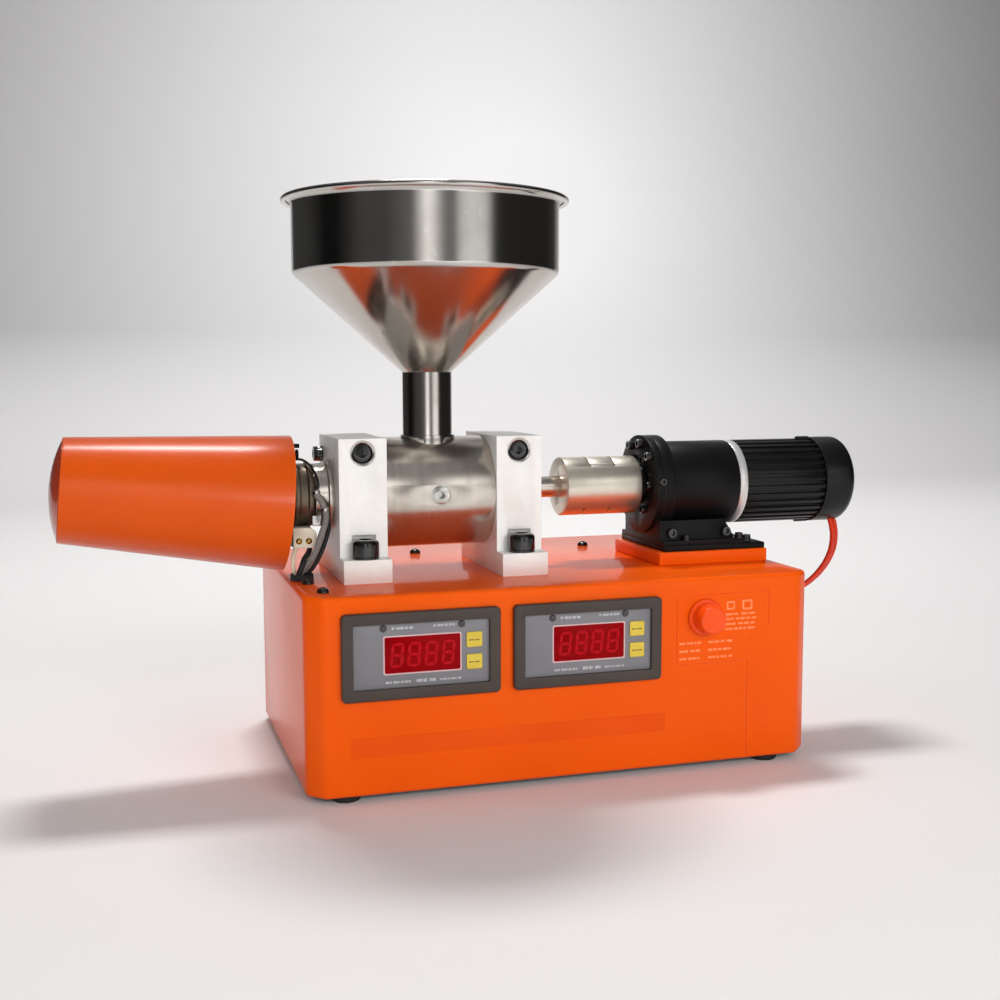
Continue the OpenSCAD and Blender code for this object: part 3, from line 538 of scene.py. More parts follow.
def copyTo(obj, name, move, turn=None, scale=1.0):
    # a copy with its own mesh, turned about the origin and then moved
    mesh = obj.data.copy()
    matrix = Matrix.Translation(move) @ (Euler(turn).to_matrix().to_4x4() if turn else Matrix())
    mesh.transform(matrix @ Matrix.Scale(scale, 4))
    copy = bpy.data.objects.new(name, mesh)
    scene.collection.objects.link(copy)
    return copy


def softCopy(node, name, width, segments=2, angle=30):
    # a copy of a CAD node with its edges rounded
    obj = bpy.data.objects.new(name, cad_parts[node].data.copy())
    obj.matrix_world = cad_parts[node].matrix_world
    scene.collection.objects.link(obj)
    settle(obj)
    pick(obj)
    bpy.ops.object.mode_set(mode="EDIT")
    bpy.ops.mesh.select_all(action="SELECT")
    bpy.ops.mesh.remove_doubles(threshold=0.00001)
    bpy.ops.mesh.dissolve_limited(angle_limit=math.radians(1.0))
    backToObject()
    if width:
        bevelPiece(obj, width, segments, angle)
    return obj


def spinProfile(name, centre, axis, profile, steps=96):
    # a line of (radius, height) points, drawn out point by point and spun round the axis
    deselectAll()
    bpy.ops.mesh.primitive_plane_add(size=0.001)
    obj = bpy.context.object
    obj.name = name
    bpy.ops.object.mode_set(mode="EDIT")
    bpy.ops.mesh.select_mode(type="VERT")
    bpy.ops.mesh.select_all(action="SELECT")
    bpy.ops.mesh.merge(type="CENTER")
    bpy.ops.transform.translate(value=(profile[0][0] * mm, 0, profile[0][1] * mm))
    for before, after in zip(profile, profile[1:]):
        step = ((after[0] - before[0]) * mm, 0, (after[1] - before[1]) * mm)
        bpy.ops.mesh.extrude_region_move(TRANSFORM_OT_translate={"value": step})
    bpy.ops.mesh.select_all(action="SELECT")
    bpy.ops.mesh.spin(steps=steps, angle=2 * math.pi, center=(0, 0, 0), axis=(0, 0, 1))
    bpy.ops.mesh.select_all(action="SELECT")
    bpy.ops.mesh.remove_doubles(threshold=0.000002)
    bpy.ops.mesh.normals_make_consistent(inside=False)
    backToObject()
    obj.rotation_euler = turns[axis] if axis in turns else axis
    obj.location = centre
    return settle(obj)


def arc(middle, radius, start, end, count):
    # points of an arc in a profile, in degrees
    points = []
    for i in range(count + 1):
        a = math.radians(start + (end - start) * i / count)
        points.append((middle[0] + radius * math.cos(a), middle[1] + radius * math.sin(a)))
    return points


def finishPiece(obj, material, body="machine", stands=(), angle=30):
    if material:
        obj.data.materials.clear()
        obj.data.materials.append(finish[material])
    pick(obj)
    bpy.ops.object.shade_smooth_by_angle(angle=math.radians(angle))
    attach(obj, body)
    if stands:
        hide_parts(*stands)
    return obj


def dressCopies(rows, body="machine"):
    # rounded copies of CAD nodes: node, name, edge, finish, slot and, where it isn't the usual, the edge's steps
    for node, name, width, look, slot, *steps in rows:
        finishPiece(softCopy(node, name, width, *steps), look, body, [node])


def smoothRoute(route, steps):
    # a smooth curve through the points of a cable's route
    points = [Vector(p) for p in route]
    last = len(points) - 1
    line = []
    for i in range(last):
        a, b, c, d = points[max(i - 1, 0)], points[i], points[i + 1], points[min(i + 2, last)]
        for k in range(steps):
            t = k / steps
            line.append(0.5 * (2 * b + (c - a) * t + (2 * a - 5 * b + 4 * c - d) * t * t
                               + (3 * b - a - 3 * c + d) * t * t * t))
    line.append(points[last])
    return line


def sweepCable(name, route, radius, sides=20, steps=6):
    # a round tube along a route, with its length and its girth in the UV map, in radii
    line = smoothRoute(route, steps)
    deselectAll()
    bpy.ops.mesh.primitive_grid_add(x_subdivisions=len(line) - 1, y_subdivisions=sides, size=2, calc_uvs=True)
    obj = bpy.context.object
    obj.name = name
    mesh = obj.data
    length = [0.0]
    for before, after in zip(line, line[1:]):
        length.append(length[-1] + (after - before).length)
    count = len(line) - 1
    homes = {}
    for vertex in mesh.vertices:
        i = round((vertex.co.x + 1) / 2 * count)
        k = round((vertex.co.y + 1) / 2 * sides)
        homes[vertex.index] = (i, k)
    for loop in mesh.loops:
        i, k = homes[loop.vertex_index]
        mesh.uv_layers.active.data[loop.index].uv = (length[i] / radius, 2 * math.pi * k / sides)
    for vertex in mesh.vertices:
        i, k = homes[vertex.index]
        heading = (line[min(i + 1, count)] - line[max(i - 1, 0)]).normalized()
        side = heading.cross(Vector((0.3, 1, 0.1))).normalized()
        up = side.cross(heading)
        a = 2 * math.pi * k / sides
        vertex.co = at(*(line[i] + radius * (math.cos(a) * side + math.sin(a) * up)))
    pick(obj)
    bpy.ops.object.mode_set(mode="EDIT")
    bpy.ops.mesh.select_all(action="SELECT")
    bpy.ops.mesh.remove_doubles(threshold=0.000001)
    bpy.ops.mesh.select_mode(type="VERT")
    bpy.ops.mesh.select_all(action="DESELECT")
    bpy.ops.mesh.select_non_manifold()
    bpy.ops.mesh.edge_face_add()
    bpy.ops.mesh.select_all(action="SELECT")
    bpy.ops.mesh.normals_make_consistent(inside=False)
    backToObject()
    obj.data.uv_layers.active.name = "UVMap"
    return obj


# cabinet

cabinetShape = {"cornerCut": 10, "foldRadius": 3, "seamDepth": 0.6, "plateRecess": 1.5}
seams = [  # corners of each seam of the control panel, in X and Z
    (231.5, 112.3, 296.5, 113.1), (295.7, 91, 296.5, 113.1), (231.5, 69.2, 232.3, 113.1),
    (231.5, 68.4, 281.5, 69.2), (280.7, 5, 281.5, 69.2),
]


def addCabinet(c):
    obj = addBlock("cabinet_shell", cabinetLow, cabinetHigh)
    selectParts(obj, "EDGE", lambda a, b: abs(a.x - b.x) < tiny and abs(a.y - b.y) < tiny)
    bpy.ops.mesh.bevel(offset=c["cornerCut"] * mm, offset_type="OFFSET", segments=1)
    backToObject()
    bevelPiece(obj, c["foldRadius"], segments=5, angle=25)
    selectParts(obj, "FACE", lambda f: f.normal.z < -0.99)
    bpy.ops.mesh.inset(thickness=1.0 * mm)
    bpy.ops.mesh.extrude_region_move(TRANSFORM_OT_translate={"value": (0, 0, c["plateRecess"] * mm)})
    backToObject()
    for x0, z0, x1, z1 in seams:
        cut(obj, addBlock("seam", at(x0, -1, z0), at(x1, c["seamDepth"], z1)))
    return finishPiece(obj, "orangePaint", stands=["cabinet"])


addCabinet(cabinetShape)

labelPlate = {"left": 25.4, "right": 224.4, "low": 27.5, "high": 39, "thick": 0.15}


def addLabelPlate(c):
    # a bare film on the front, with nothing printed on it
    obj = addBlock("bare_label", at(c["left"], -c["thick"], c["low"]), at(c["right"], 0.05, c["high"]))
    roundCorners(obj, 1, 4)
    bevelPiece(obj, 0.06, segments=1)
    return finishPiece(obj, "labelFilm")


addLabelPlate(labelPlate)
dressCopies([
    ("base_plate", "bottom_plate", 0.3, "blackPaint", "black_paint"),
    ("feet", "rubber_feet", 0.6, "footRubber", "rubber_black", 3),
])
print("stage: cabinet")


# screws

def addCapScrew(name, diameter, height, knurls=40):
    # socket-head cap screw standing on the origin: knurled side, rounded rim, six-sided socket
    radius = diameter / 2
    head = addRod(name, Vector(), "Z", height, radius, sides=knurls * 2)
    selectParts(head, "VERT", lambda p: round(math.atan2(p.y, p.x) / (math.pi / knurls)) % 2 == 0)
    bpy.ops.transform.resize(value=(0.965, 0.965, 1))
    backToObject()
    selectParts(head, "FACE", lambda f: f.normal.z > 0.99)
    bpy.ops.mesh.inset(thickness=0.05 * diameter * mm)
    backToObject()
    selectParts(head, "VERT", lambda p: p.z > height * mm * 0.99 and p.xy.length > radius * 0.92 * mm)
    bpy.ops.transform.resize(value=(0.95, 0.95, 1))
    bpy.ops.transform.translate(value=(0, 0, -0.045 * diameter * mm))
    backToObject()
    socket = addRod("socket", Vector((0, 0, height * mm * 0.45)), "Z", height, diameter * 0.29, sides=6)
    return cut(head, socket)


def addRoundScrew(name, diameter, height, edge):
    # plain socket screw with a well rounded top, a shallow ring above its seat and a six-sided socket
    r = diameter / 2
    profile = [(0, 0), (r, 0), (r, 1.2), (r - 0.25, 1.5), (r, 1.8)]
    profile += arc((r - edge, height - edge), edge, 0, 80, 8)
    profile += [(0, height)]
    head = spinProfile(name, Vector(), "Z", profile, steps=56)
    return cut(head, addRod("socket", Vector((0, 0, height * mm * 0.45)), "Z", height, diameter * 0.25, sides=6))


def addButtonScrew(name, diameter, height):
    # low rounded head standing on the origin, with a six-sided socket
    profile = [(0, 0), (diameter / 2, 0), (diameter / 2, height * 0.25)]
    profile += [(diameter / 2 * math.cos(a), height * (0.25 + 0.75 * math.sin(a)))
                for a in (0.25, 0.5, 0.75, 1.0, 1.2, 1.4)]
    profile += [(0, height)]
    head = spinProfile(name, Vector(), "Z", profile, steps=40)
    return cut(head, addRod("socket", Vector((0, 0, height * mm * 0.5)), "Z", height, diameter * 0.2, sides=6))


def placeScrews(name, screw, places):
    # one copy of the screw at each place: (point, axis)
    copies = [copyTo(screw, name, point, turns[axis]) for point, axis in places]
    return joinAll(name, copies)


def removeAll(*objects):
    for obj in objects:
        bpy.data.objects.remove(obj)


button = addButtonScrew("button", 7.6, 3.2)
finishPiece(placeScrews("top_screws", button, [(at(x, y, cabinetTop), "Z") for x, y in
                        ((9.8, 53.2), (13.6, 19.4), (230.4, 162), (103, 162))]),
            "blackSteel", stands=["cabinet_screws"])
removeAll(button)


# panel meters

meter = {
    "width": 96, "height": 52, "out": 4, "corner": 3, "lip": 1.2, "border": 6.8, "faceOut": 1.6,
    "windowAt": (25.6, 15.6), "windowSize": (45.6, 21.4), "keyAt": 75, "keyRows": (15, 28.3),
    "lamps": ((24.9, 9.6), (72.2, 9.4)), "lampSize": 4.4,
    "digits": 4, "digitWidth": 7.8, "digitHeight": 14.8, "digitPitch": 10.3, "slant": 0.1, "barWidth": 1.8,
}


def addPlate(name, x, z, width, height, front, thick, corner):
    # a thin plate with rounded corners on the front, its outer face at a distance in front of the cabinet
    obj = addBlock(name, at(x, -front, z), at(x + width, -front + thick, z + height))
    roundCorners(obj, corner, 4)
    return obj


def addBezel(name, left, low, c):
    obj = addBlock(name, at(left, -c["out"], low), at(left + c["width"], 0, low + c["height"]))
    roundCorners(obj, c["corner"], 8)
    front = at(0, -c["out"], 0).y
    selectParts(obj, "EDGE", lambda a, b: a.y < front + tiny and b.y < front + tiny)
    bpy.ops.mesh.bevel(offset=c["lip"] * mm, segments=4)
    backToObject()
    border = c["border"]
    cut(obj, addPlate("opening", left + border, low + border, c["width"] - 2 * border, c["height"] - 2 * border,
                      c["out"] + 1, c["out"] - 0.4, 1.2))
    bevelPiece(obj, 0.25, segments=2, angle=35)
    return obj


def addSegment(c, length):
    # one bar of a digit with pointed ends, drawn along X about the origin
    corner = c["barWidth"] / 2 / math.cos(math.radians(30))
    bar = addRod("bar", Vector(), "-Y", 0.12, corner, sides=6)
    for side in (-1, 1):
        selectParts(bar, "VERT", lambda p: p.x * side > 0.0001)
        bpy.ops.transform.translate(value=(side * (length / 2 - corner) * mm, 0, 0))
        backToObject()
    return bar


def addDigits(name, left, low, c):
    wide, tall = c["digitWidth"] - c["barWidth"], (c["digitHeight"] - c["barWidth"]) / 2
    flatBar, uprightBar = addSegment(c, wide - 0.2), addSegment(c, tall - 0.2)
    middle = (left + c["windowAt"][0] + c["windowSize"][0] / 2, low + c["windowAt"][1] + c["windowSize"][1] / 2)
    pieces = []
    for i in range(c["digits"]):
        x = middle[0] + (i - (c["digits"] - 1) / 2) * c["digitPitch"]
        bars = [(flatBar, 0, dz * tall, 0) for dz in (-1, 0, 1)]
        bars += [(uprightBar, dx * wide / 2, dz * tall / 2, math.pi / 2 + c["slant"])
                 for dx in (-1, 1) for dz in (-1, 1)]
        for bar, dx, dz, turn in bars:
            place = at(x + dx + dz * c["slant"], -c["faceOut"] - 0.62, middle[1] + dz)
            pieces.append(copyTo(bar, name, place, (0, turn, 0)))
    removeAll(flatBar, uprightBar)
    return joinAll(name, pieces)


def addDashes(name, left, low, rows, front):
    # rows of short plain strokes: (x, z, length, height, count)
    pieces = []
    for x, z, length, height, count in rows:
        each = length / count
        for i in range(count):
            shorter = 0.74 + 0.16 * math.sin(3.7 * i + x)
            pieces.append(addPlate(name, left + x + i * each, low + z, each * shorter, height, front, 0.05, 0.12))
    return joinAll(name, pieces)


def addMeter(side, left, low, c):
    bezel = addBezel(side + "_frame", left, low, c)
    finishPiece(bezel, "bezelPlastic", stands=[side + "_bezel"])
    film = softCopy(side + "_face", side + "_film", 0.25)
    finishPiece(film, "faceFilm", stands=[side + "_face"])

    x, z = left + c["windowAt"][0], low + c["windowAt"][1]
    w, h = c["windowSize"]
    edge = addPlate(side + "_window_edge", x - 0.9, z - 0.9, w + 1.8, h + 1.8, c["faceOut"] + 0.25, 0.3, 1.2)
    cut(edge, addPlate("opening", x, z, w, h, c["faceOut"] + 1, 2, 0.8))
    finishPiece(bevelPiece(edge, 0.1, 1), "windowEdge")
    glass = addPlate(side + "_glass", x, z, w, h, c["faceOut"] + 0.6, 0.6, 1)
    finishPiece(bevelPiece(glass, 0.2), "windowRed", stands=[side + "_window"])
    finishPiece(addDigits(side + "_digits", left, low, c), "digitRed")

    keys = softCopy(side + "_keys", side + "_key_tops", 0.35, segments=3)
    finishPiece(keys, "keyYellow", stands=[side + "_keys"])
    rows = [(c["keyAt"] + 1.4, row + 3.9, 7, 0.8, 4) for row in c["keyRows"]]
    finishPiece(addDashes(side + "_key_marks", left, low, rows, c["faceOut"] + 0.93), "keyPrint")

    lamps = []
    for x, down in c["lamps"]:
        r = c["lampSize"] / 2
        profile = [(0, 0), (r, 0)] + arc((r - 0.7, 0), 0.7, 0, 90, 4)[1:] + [(0, 0.9)]
        lamps.append(spinProfile("lamp", at(left + x, -c["faceOut"], low + c["height"] - down), "-Y", profile, 32))
    finishPiece(joinAll(side + "_lamps", lamps), "lampLens")
    marks = [(30, c["height"] - 10.6, 13, 1.5, 5), (55, c["height"] - 10.2, 14, 1.4, 6),
             (26, 9.6, 16, 1.2, 7), (44.5, 9.4, 12, 1.8, 3), (59, 9.6, 13, 1.0, 6)]
    finishPiece(addDashes(side + "_marks", left, low, marks, c["faceOut"] + 0.04), "whitePrint")


for side in ("left", "right"):
    bezelLow = boxOf(side + "_bezel")[0]
    addMeter(side, (bezelLow.x - benchCorner.x) / mm, bezelLow.z / mm, meter)
print("stage: meters")


# speed knob

knob = {"x": 251.4, "z": 98.3, "width": 17.6, "out": 13, "pin": 6}


def addKnob(c):
    collar = softCopy("knob_collar", "collar_ring", 0.4, segments=3)
    finishPiece(collar, "knobPlastic", stands=["knob_collar"])
    r, base, top = c["width"] / 2, 2.7, c["out"]
    profile = [(0, base - 10), (c["pin"] / 2, base - 10), (c["pin"] / 2, base), (r + 0.3, base)]
    profile += arc((r + 0.1, base + 0.5), 0.5, -30, 60, 3)
    profile += arc((r - 1.6, top - 1.6), 1.6, 0, 90, 6)
    profile += [(r - 2.6, top), (r - 3.2, top - 0.25), (0, top - 0.25)]
    obj = spinProfile("turning_knob", at(c["x"], 0, c["z"]), "-Y", profile, 72)
    finishPiece(obj, "knobPlastic", body="knob", stands=["speed_knob"])
    # plain strokes and two small squares that mark the panel
    rows = [(265.4, z, 22.4, 1.3, n) for z, n in ((89, 7), (92.2, 5), (95.4, 6), (98.4, 4))]
    rows += [(234, z, 15, 1.4, n) for z, n in ((71.6, 5), (76.4, 4), (81.4, 6))]
    rows += [(254, z, 17, 1.4, n) for z, n in ((71.6, 6), (76.4, 5), (81.4, 4))]
    finishPiece(addDashes("panel_marks", 0, 0, rows, 0.06), "palePrint")
    squares = [addPlate("square", x, z, w, h, 0.06, 0.1, 0.6) for x, z, w, h in
               ((266.4, 102, 5.8, 5.4), (277.4, 101.5, 7.0, 6.3))]
    squares[0] = cut(squares[0], addPlate("inside", 267.5, 103.1, 3.6, 3.2, 1, 3, 0.4))
    squares[1] = cut(squares[1], addPlate("inside", 278.6, 102.7, 4.6, 3.9, 1, 3, 0.4))
    finishPiece(joinAll("panel_squares", squares), "palePrint")


addKnob(knob)
print("stage: knob")


# bearing blocks and their screws

dressCopies([
    ("left_block", "left_bearing_block", 0.7, "satinSteel", "satin_steel"),
    ("right_block", "right_bearing_block", 0.7, "satinSteel", "satin_steel"),
])

blockScrews = {"clampHead": (12.2, 8.5, 1.2), "clampSeat": 15.8, "clampInset": 10, "footHead": (17, 12, 2.8),
               "footOut": 8.2, "footHigh": 14.5, "ledge": 13, "clampDown": 9, "sideHead": (10, 6),
               "sideAt": (116, 12.5)}


def addBlockScrews(c):
    clamp = addRoundScrew("clamp", *c["clampHead"])
    foot = addRoundScrew("foot", *c["footHead"])
    seatIn, seatOut, deep = c["clampHead"][0] / 2 + 0.25, c["clampSeat"] / 2, c["clampInset"] - 0.2
    seat = spinProfile("seat", Vector(), "Z", [(seatIn, 0), (seatOut, 0), (seatOut, deep), (seatOut - 0.3, deep),
                                               (seatIn, deep - 0.7), (seatIn, 0)], 64)
    side = addCapScrew("side", *c["sideHead"], knurls=30)
    groups, seats = [], []
    for node in ("left_block", "right_block"):
        low, high = boxOf(node)
        x = ((low.x + high.x) / 2 - benchCorner.x) / mm
        front, back = (low.y - benchCorner.y) / mm, (high.y - benchCorner.y) / mm
        top = high.z / mm
        deepIn = c["ledge"] + c["clampInset"]
        clampPlaces = [(at(x, front + deepIn, top - c["clampDown"]), "-Y"),
                       (at(x, back - deepIn, top - c["clampDown"]), "Y")]
        groups.append(placeScrews("clamps", clamp, clampPlaces))
        seats.append(placeScrews("seats", seat, clampPlaces))
        groups.append(placeScrews("feet", foot, [
            (at(x, front + c["footOut"], cabinetTop + c["footHigh"]), "Z"),
            (at(x, back - c["footOut"], cabinetTop + c["footHigh"]), "Z")]))
    low, high = boxOf("left_block")
    left = (low.x - benchCorner.x) / mm
    groups.append(placeScrews("sides", side, [(at(left, c["sideAt"][0], high.z / mm - c["sideAt"][1]), "-X")]))
    removeAll(clamp, foot, side, seat)
    finishPiece(joinAll("block_cap_screws", groups), "blackSteel", stands=["block_screws"])
    finishPiece(joinAll("screw_seats", seats), "brightSteel")


addBlockScrews(blockScrews)
print("stage: blocks")


# feed housing, throat and hopper

dressCopies([
    ("feed_housing", "turned_housing", 0.6, "turnedSteel", "turned_steel"),
    ("housing_plug", "screw_plug", 0.2, "brightSteel", "turned_steel"),
    ("throat_tube", "throat", 0.3, "throatSteel", "polished_steel"),
])

hopper = {
    "throat": 32, "bowl": 171, "coneRise": 77, "shoulderRise": 139.5, "rimRise": 186, "rimOut": 6.4,
    "wall": 1.2, "bend": 5, "flare": 4, "bead": 1.8,
}


def addHopper(c):
    low, high = boxOf("throat_tube")
    x, y = ((low.x + high.x) / 2 - benchCorner.x) / mm, ((low.y + high.y) / 2 - benchCorner.y) / mm
    rLow, rTop, wall, bend = c["throat"] / 2, c["bowl"] / 2, c["wall"], c["bend"]
    slope = math.degrees(math.atan2(c["shoulderRise"] - c["coneRise"], rTop - rLow))
    lean = math.radians(slope - 90)
    bendX = rTop - bend
    coneOut = bendX + bend * math.cos(lean) - rLow
    bendZ = c["coneRise"] + coneOut * math.tan(math.radians(slope)) - bend * math.sin(lean)
    wallTop = c["rimRise"] - c["flare"] - 1
    beadX, beadZ = rTop + c["rimOut"] - c["bead"], c["rimRise"] - 1
    outside = [(rLow, c["coneRise"])] + arc((bendX, bendZ), bend, slope - 90, 0, 8)
    outside += arc((rTop + c["flare"], wallTop), c["flare"], 180, 100, 6)
    outside += arc((beadX, beadZ), c["bead"], 200, 520, 20)
    inside = arc((rTop + c["flare"], wallTop), c["flare"] + wall, 95, 180, 6)
    inside += arc((bendX, bendZ), bend - wall, 0, slope - 90, 8)
    normalX, normalZ = math.sin(math.radians(slope)), math.cos(math.radians(slope))
    inside += [(rLow - wall * normalX * 0.6, c["coneRise"] + wall * normalZ * 0.6)]
    profile = outside + inside + [outside[0]]
    obj = spinProfile("hopper_bowl", at(x, y, axisZ), "Z", profile, 144)
    finishPiece(obj, "polishedSteel", stands=["hopper"], angle=40)
    # the cone is brushed a little duller than the bowl
    obj.data.materials.append(finish["coneSteel"])
    shoulder = (axisZ + c["shoulderRise"] - 1) * mm
    for face in obj.data.polygons:
        face.material_index = 1 if face.center.z < shoulder else 0


addHopper(hopper)
print("stage: hopper")


# drive line

dressCopies([
    ("shaft_coupling", "flexible_coupling", 0.25, "champagne", "champagne"),
    ("drive_shafts", "turned_shafts", 0.3, "turnedSteel", "turned_steel"),
    ("extruder_screw", "feed_screw", 0, "turnedSteel", "turned_steel"),
], body="drive")
print("stage: drive line")


# barrel, bands and terminal

dressCopies([
    ("hot_barrel", "heated_barrel", 0.4, "turnedSteel", "turned_steel"),
    ("barrel_collar", "collar", 0.5, "turnedSteel", "turned_steel"),
    ("nozzle", "brass_nozzle", 0.3, "brass", "brass"),
    ("heater_bands", "band_heaters", 0.3, "bandSteel", "band_steel"),
    ("terminal_block", "ceramic_terminal", 0.5, "ceramic", "ceramic"),
])

bands = {"starts": (5.2, -34, -64, -94), "length": 13, "width": 41}


def addBandParts(c):
    # clamp screws through the ears, the bright tab of the first band and the terminal's screws
    screw = addCapScrew("ear", 4.6, 2.6, knurls=24)
    middle = [start + c["length"] / 2 for start in c["starts"]]
    low = axisZ - c["width"] / 2 - 2.6
    ears = placeScrews("band_screws", screw, [(at(x, axisY - 4, low), "-Y") for x in middle])
    removeAll(screw)
    finishPiece(ears, "brightSteel")
    tab = addBlock("bright_tab", at(15.7, axisY - 20.6, 157), at(23.3, axisY - 15.6, 158.4))
    selectParts(tab, "FACE", lambda f: f.normal.y < -0.9)
    bpy.ops.mesh.extrude_region_move(TRANSFORM_OT_translate={"value": (0, -1.4 * mm, 0)})
    backToObject()
    selectParts(tab, "FACE", lambda f: f.normal.z > 0.9 and f.center.y < at(0, axisY - 20.6, 0).y)
    bpy.ops.mesh.extrude_region_move(TRANSFORM_OT_translate={"value": (0, 0, 5 * mm)})
    backToObject()
    bevelPiece(tab, 0.3)
    finishPiece(tab, "brightSteel")
    pan = addButtonScrew("pan", 4, 1.6)
    brassScrews = placeScrews("terminal_screws", pan, [
        (at(4 + x, axisY - 20.3 + 0.9, axisZ - 31.7 + 4.2), "-Y") for x in (3.4, 9.6)])
    removeAll(pan)
    finishPiece(brassScrews, "brass")


addBandParts(bands)
print("stage: barrel")


# heater cover

cover = {"open": 85.4, "end": 64.4, "length": 134.8, "rise": 12.1, "wall": 1.5, "dome": 6.8, "hole": 18}


def addCover(c):
    # a conical shell whose own axis rises to the left, closed by a shallow dome
    tilt = math.atan2(c["rise"], c["length"])
    slant = math.hypot(c["rise"], c["length"])
    low, high = boxOf("heater_cover")
    openX = (high.x - benchCorner.x) / mm - c["open"] / 2 * math.sin(tilt)
    openZ = low.z / mm + c["open"] / 2 * math.cos(tilt)
    turn = (0, tilt - math.pi / 2, 0)
    wide, narrow, wall = c["open"] / 2, c["end"] / 2, c["wall"]
    profile = [(wide, 0), (wide, 1.2), (narrow, slant - 1.2), (narrow, slant), (narrow - wall, slant),
               (narrow - wall, slant - 1.2), (wide - wall, 1.2), (wide - wall, 0), (wide, 0)]
    shell = spinProfile("cover_shell", at(openX, axisY, openZ), turn, profile, 144)
    bevelPiece(shell, 0.4, segments=3, angle=60)
    finishPiece(shell, "coverPaint", stands=["heater_cover"])

    ball = (narrow * narrow + c["dome"] ** 2) / (2 * c["dome"])
    reach = math.degrees(math.asin((narrow - 0.9) / ball))
    middle = c["dome"] - ball
    profile = [(narrow - 1.6, 0.1), (narrow - 0.05, 0.1), (narrow - 0.05, 0.3)]
    profile += arc((0, middle), ball, 90 - reach, 90, 16)
    profile += arc((0, middle), ball - wall, 90, 90 - reach * 0.95, 12) + [profile[0]]
    endX, endZ = openX - c["length"], openZ + c["rise"]
    dome = spinProfile("cover_dome", at(endX, axisY, endZ), turn, profile, 128)
    hole = addRod("hole", at(endX - c["dome"] - 2, axisY, axisZ), "X", 20, c["hole"] / 2, sides=64)
    cut(dome, hole)
    bevelPiece(dome, 0.3, segments=2, angle=50)
    # the dome's darker paint is painted shade and dark reflection on the cover's orange
    finishPiece(dome, "domePaintedShade", stands=["cover_end"])


addCover(cover)
dressCopies([
    ("cover_ring", "cover_spider", 0.3, "blackPaint", "black_paint"),
])
print("stage: cover")


# cables

cables = {
    "sleeve": [(17.8, 66.2, 179.5), (18.6, 66, 176), (21.4, 66, 172), (23.9, 66, 164.5), (22.9, 66, 157.5),
               (20.6, 66, 151.5), (18.6, 66.5, 144.5), (15.3, 67.5, 137.5), (11.5, 70, 131.5), (8.8, 71.9, 127.8),
               (8.2, 72.2, 125.6)],
    "loop": [(9.5, 92, 197.2), (12.6, 86, 197.2), (16, 78, 194.4), (18.8, 71, 188.4), (19.4, 67.6, 183),
             (18, 66.4, 180.6)],
    "return": [(24.5, 70.4, 168.5), (25.4, 69.8, 163.5), (25.8, 69, 155), (22.8, 69.3, 144.5), (18.8, 68.8, 136),
               (15.4, 68.4, 131), (12.8, 69, 127.8), (12.4, 69.2, 125)],
    "supply": [(14.5, 73, 142.5), (13.3, 71.4, 140), (10.2, 68.2, 136.6), (8.3, 66, 132.5), (6.3, 65.4, 128),
               (6, 65.4, 125)],
    "cream": [(6, 72.6, 143.1), (4.6, 69, 141.6), (3.3, 67, 138.5), (3.1, 67.6, 133.5), (3.9, 69.4, 129),
              (4.6, 70.2, 126.8), (4.6, 70.2, 125)],
    "lead": [(392.4, 84, 151), (394.4, 84, 146), (396.1, 84, 140), (396.8, 84, 134), (396, 84, 126),
             (393.2, 84, 118.6), (388.4, 84, 111.4), (381, 84, 104.2), (371.5, 84, 98.2), (358, 84, 94.2),
             (344, 84, 92.4), (332, 84, 92)],
}


def leadLine(route, side):
    # the outer lead and the inner one beside it, which meet at the gland
    return [(x - (1 - side) / 2 * 5.4 * min(1, (x - 332) / 40), y + side * 2.3, z) for x, y, z in route]


def addFerrule(name, start, end, radius):
    # a short crimped tube between two points
    middle = (Vector(start) + Vector(end)) / 2
    tube = sweepCable(name, [start, middle, end], radius, sides=24, steps=2)
    return bevelPiece(tube, 0.25, 2, angle=50)


def addCables(c):
    sleeve = sweepCable("braided_sleeve", c["sleeve"], 2, sides=24)
    finishPiece(sleeve, "braid", stands=["sleeved_cable"], angle=60)
    black = joinAll("black_wires", [
        sweepCable("loop", c["loop"], 0.8, sides=12), sweepCable("return", c["return"], 1.4, sides=16),
        sweepCable("supply", c["supply"], 1.7, sides=16)])
    finishPiece(black, "blackCable", stands=["black_cable"], angle=60)
    cream = sweepCable("cream_lead", c["cream"], 1.2, sides=16)
    finishPiece(cream, "creamCable", stands=["cream_wire"], angle=60)
    red = joinAll("red_leads", [sweepCable("red", leadLine(c["lead"], side), 1.75, sides=24) for side in (-1, 1)])
    finishPiece(red, "leadRed", stands=["motor_leads"], angle=60)
    ferrules = joinAll("sleeve_ferrules", [
        addFerrule("ferrule", c["sleeve"][0], (18.3, 66.1, 177.4), 2.3),
        addFerrule("ferrule", (23.2, 66, 168.6), (23.7, 66, 166.4), 2.3)])
    finishPiece(ferrules, "brightSteel")
    finishPiece(softCopy("cable_grommets", "rubber_grommets", 0.5, segments=3), "footRubber",
                stands=["cable_grommets"])


addCables(cables)
print("stage: cables")


# riser and gearmotor

dressCopies([
    ("riser_block", "riser", 0.9, "orangePaint", "orange_paint", 3),
    ("motor_base", "motor_plate", 0.5, "blackPaint", "black_paint"),
    ("motor_bracket", "bracket", 0.5, "blackPaint", "black_paint"),
    ("gearbox", "gear_housing", 0.5, "blackPaint", "black_paint"),
    ("gearbox_ring", "bare_ring", 0.4, "plainAluminium", "plain_aluminium"),
    ("motor_body", "ribbed_motor", 0.7, "ribPaint", "black_paint", 3),
    ("motor_cap", "rear_cap", 0.3, "ribPaint", "black_paint"),
])

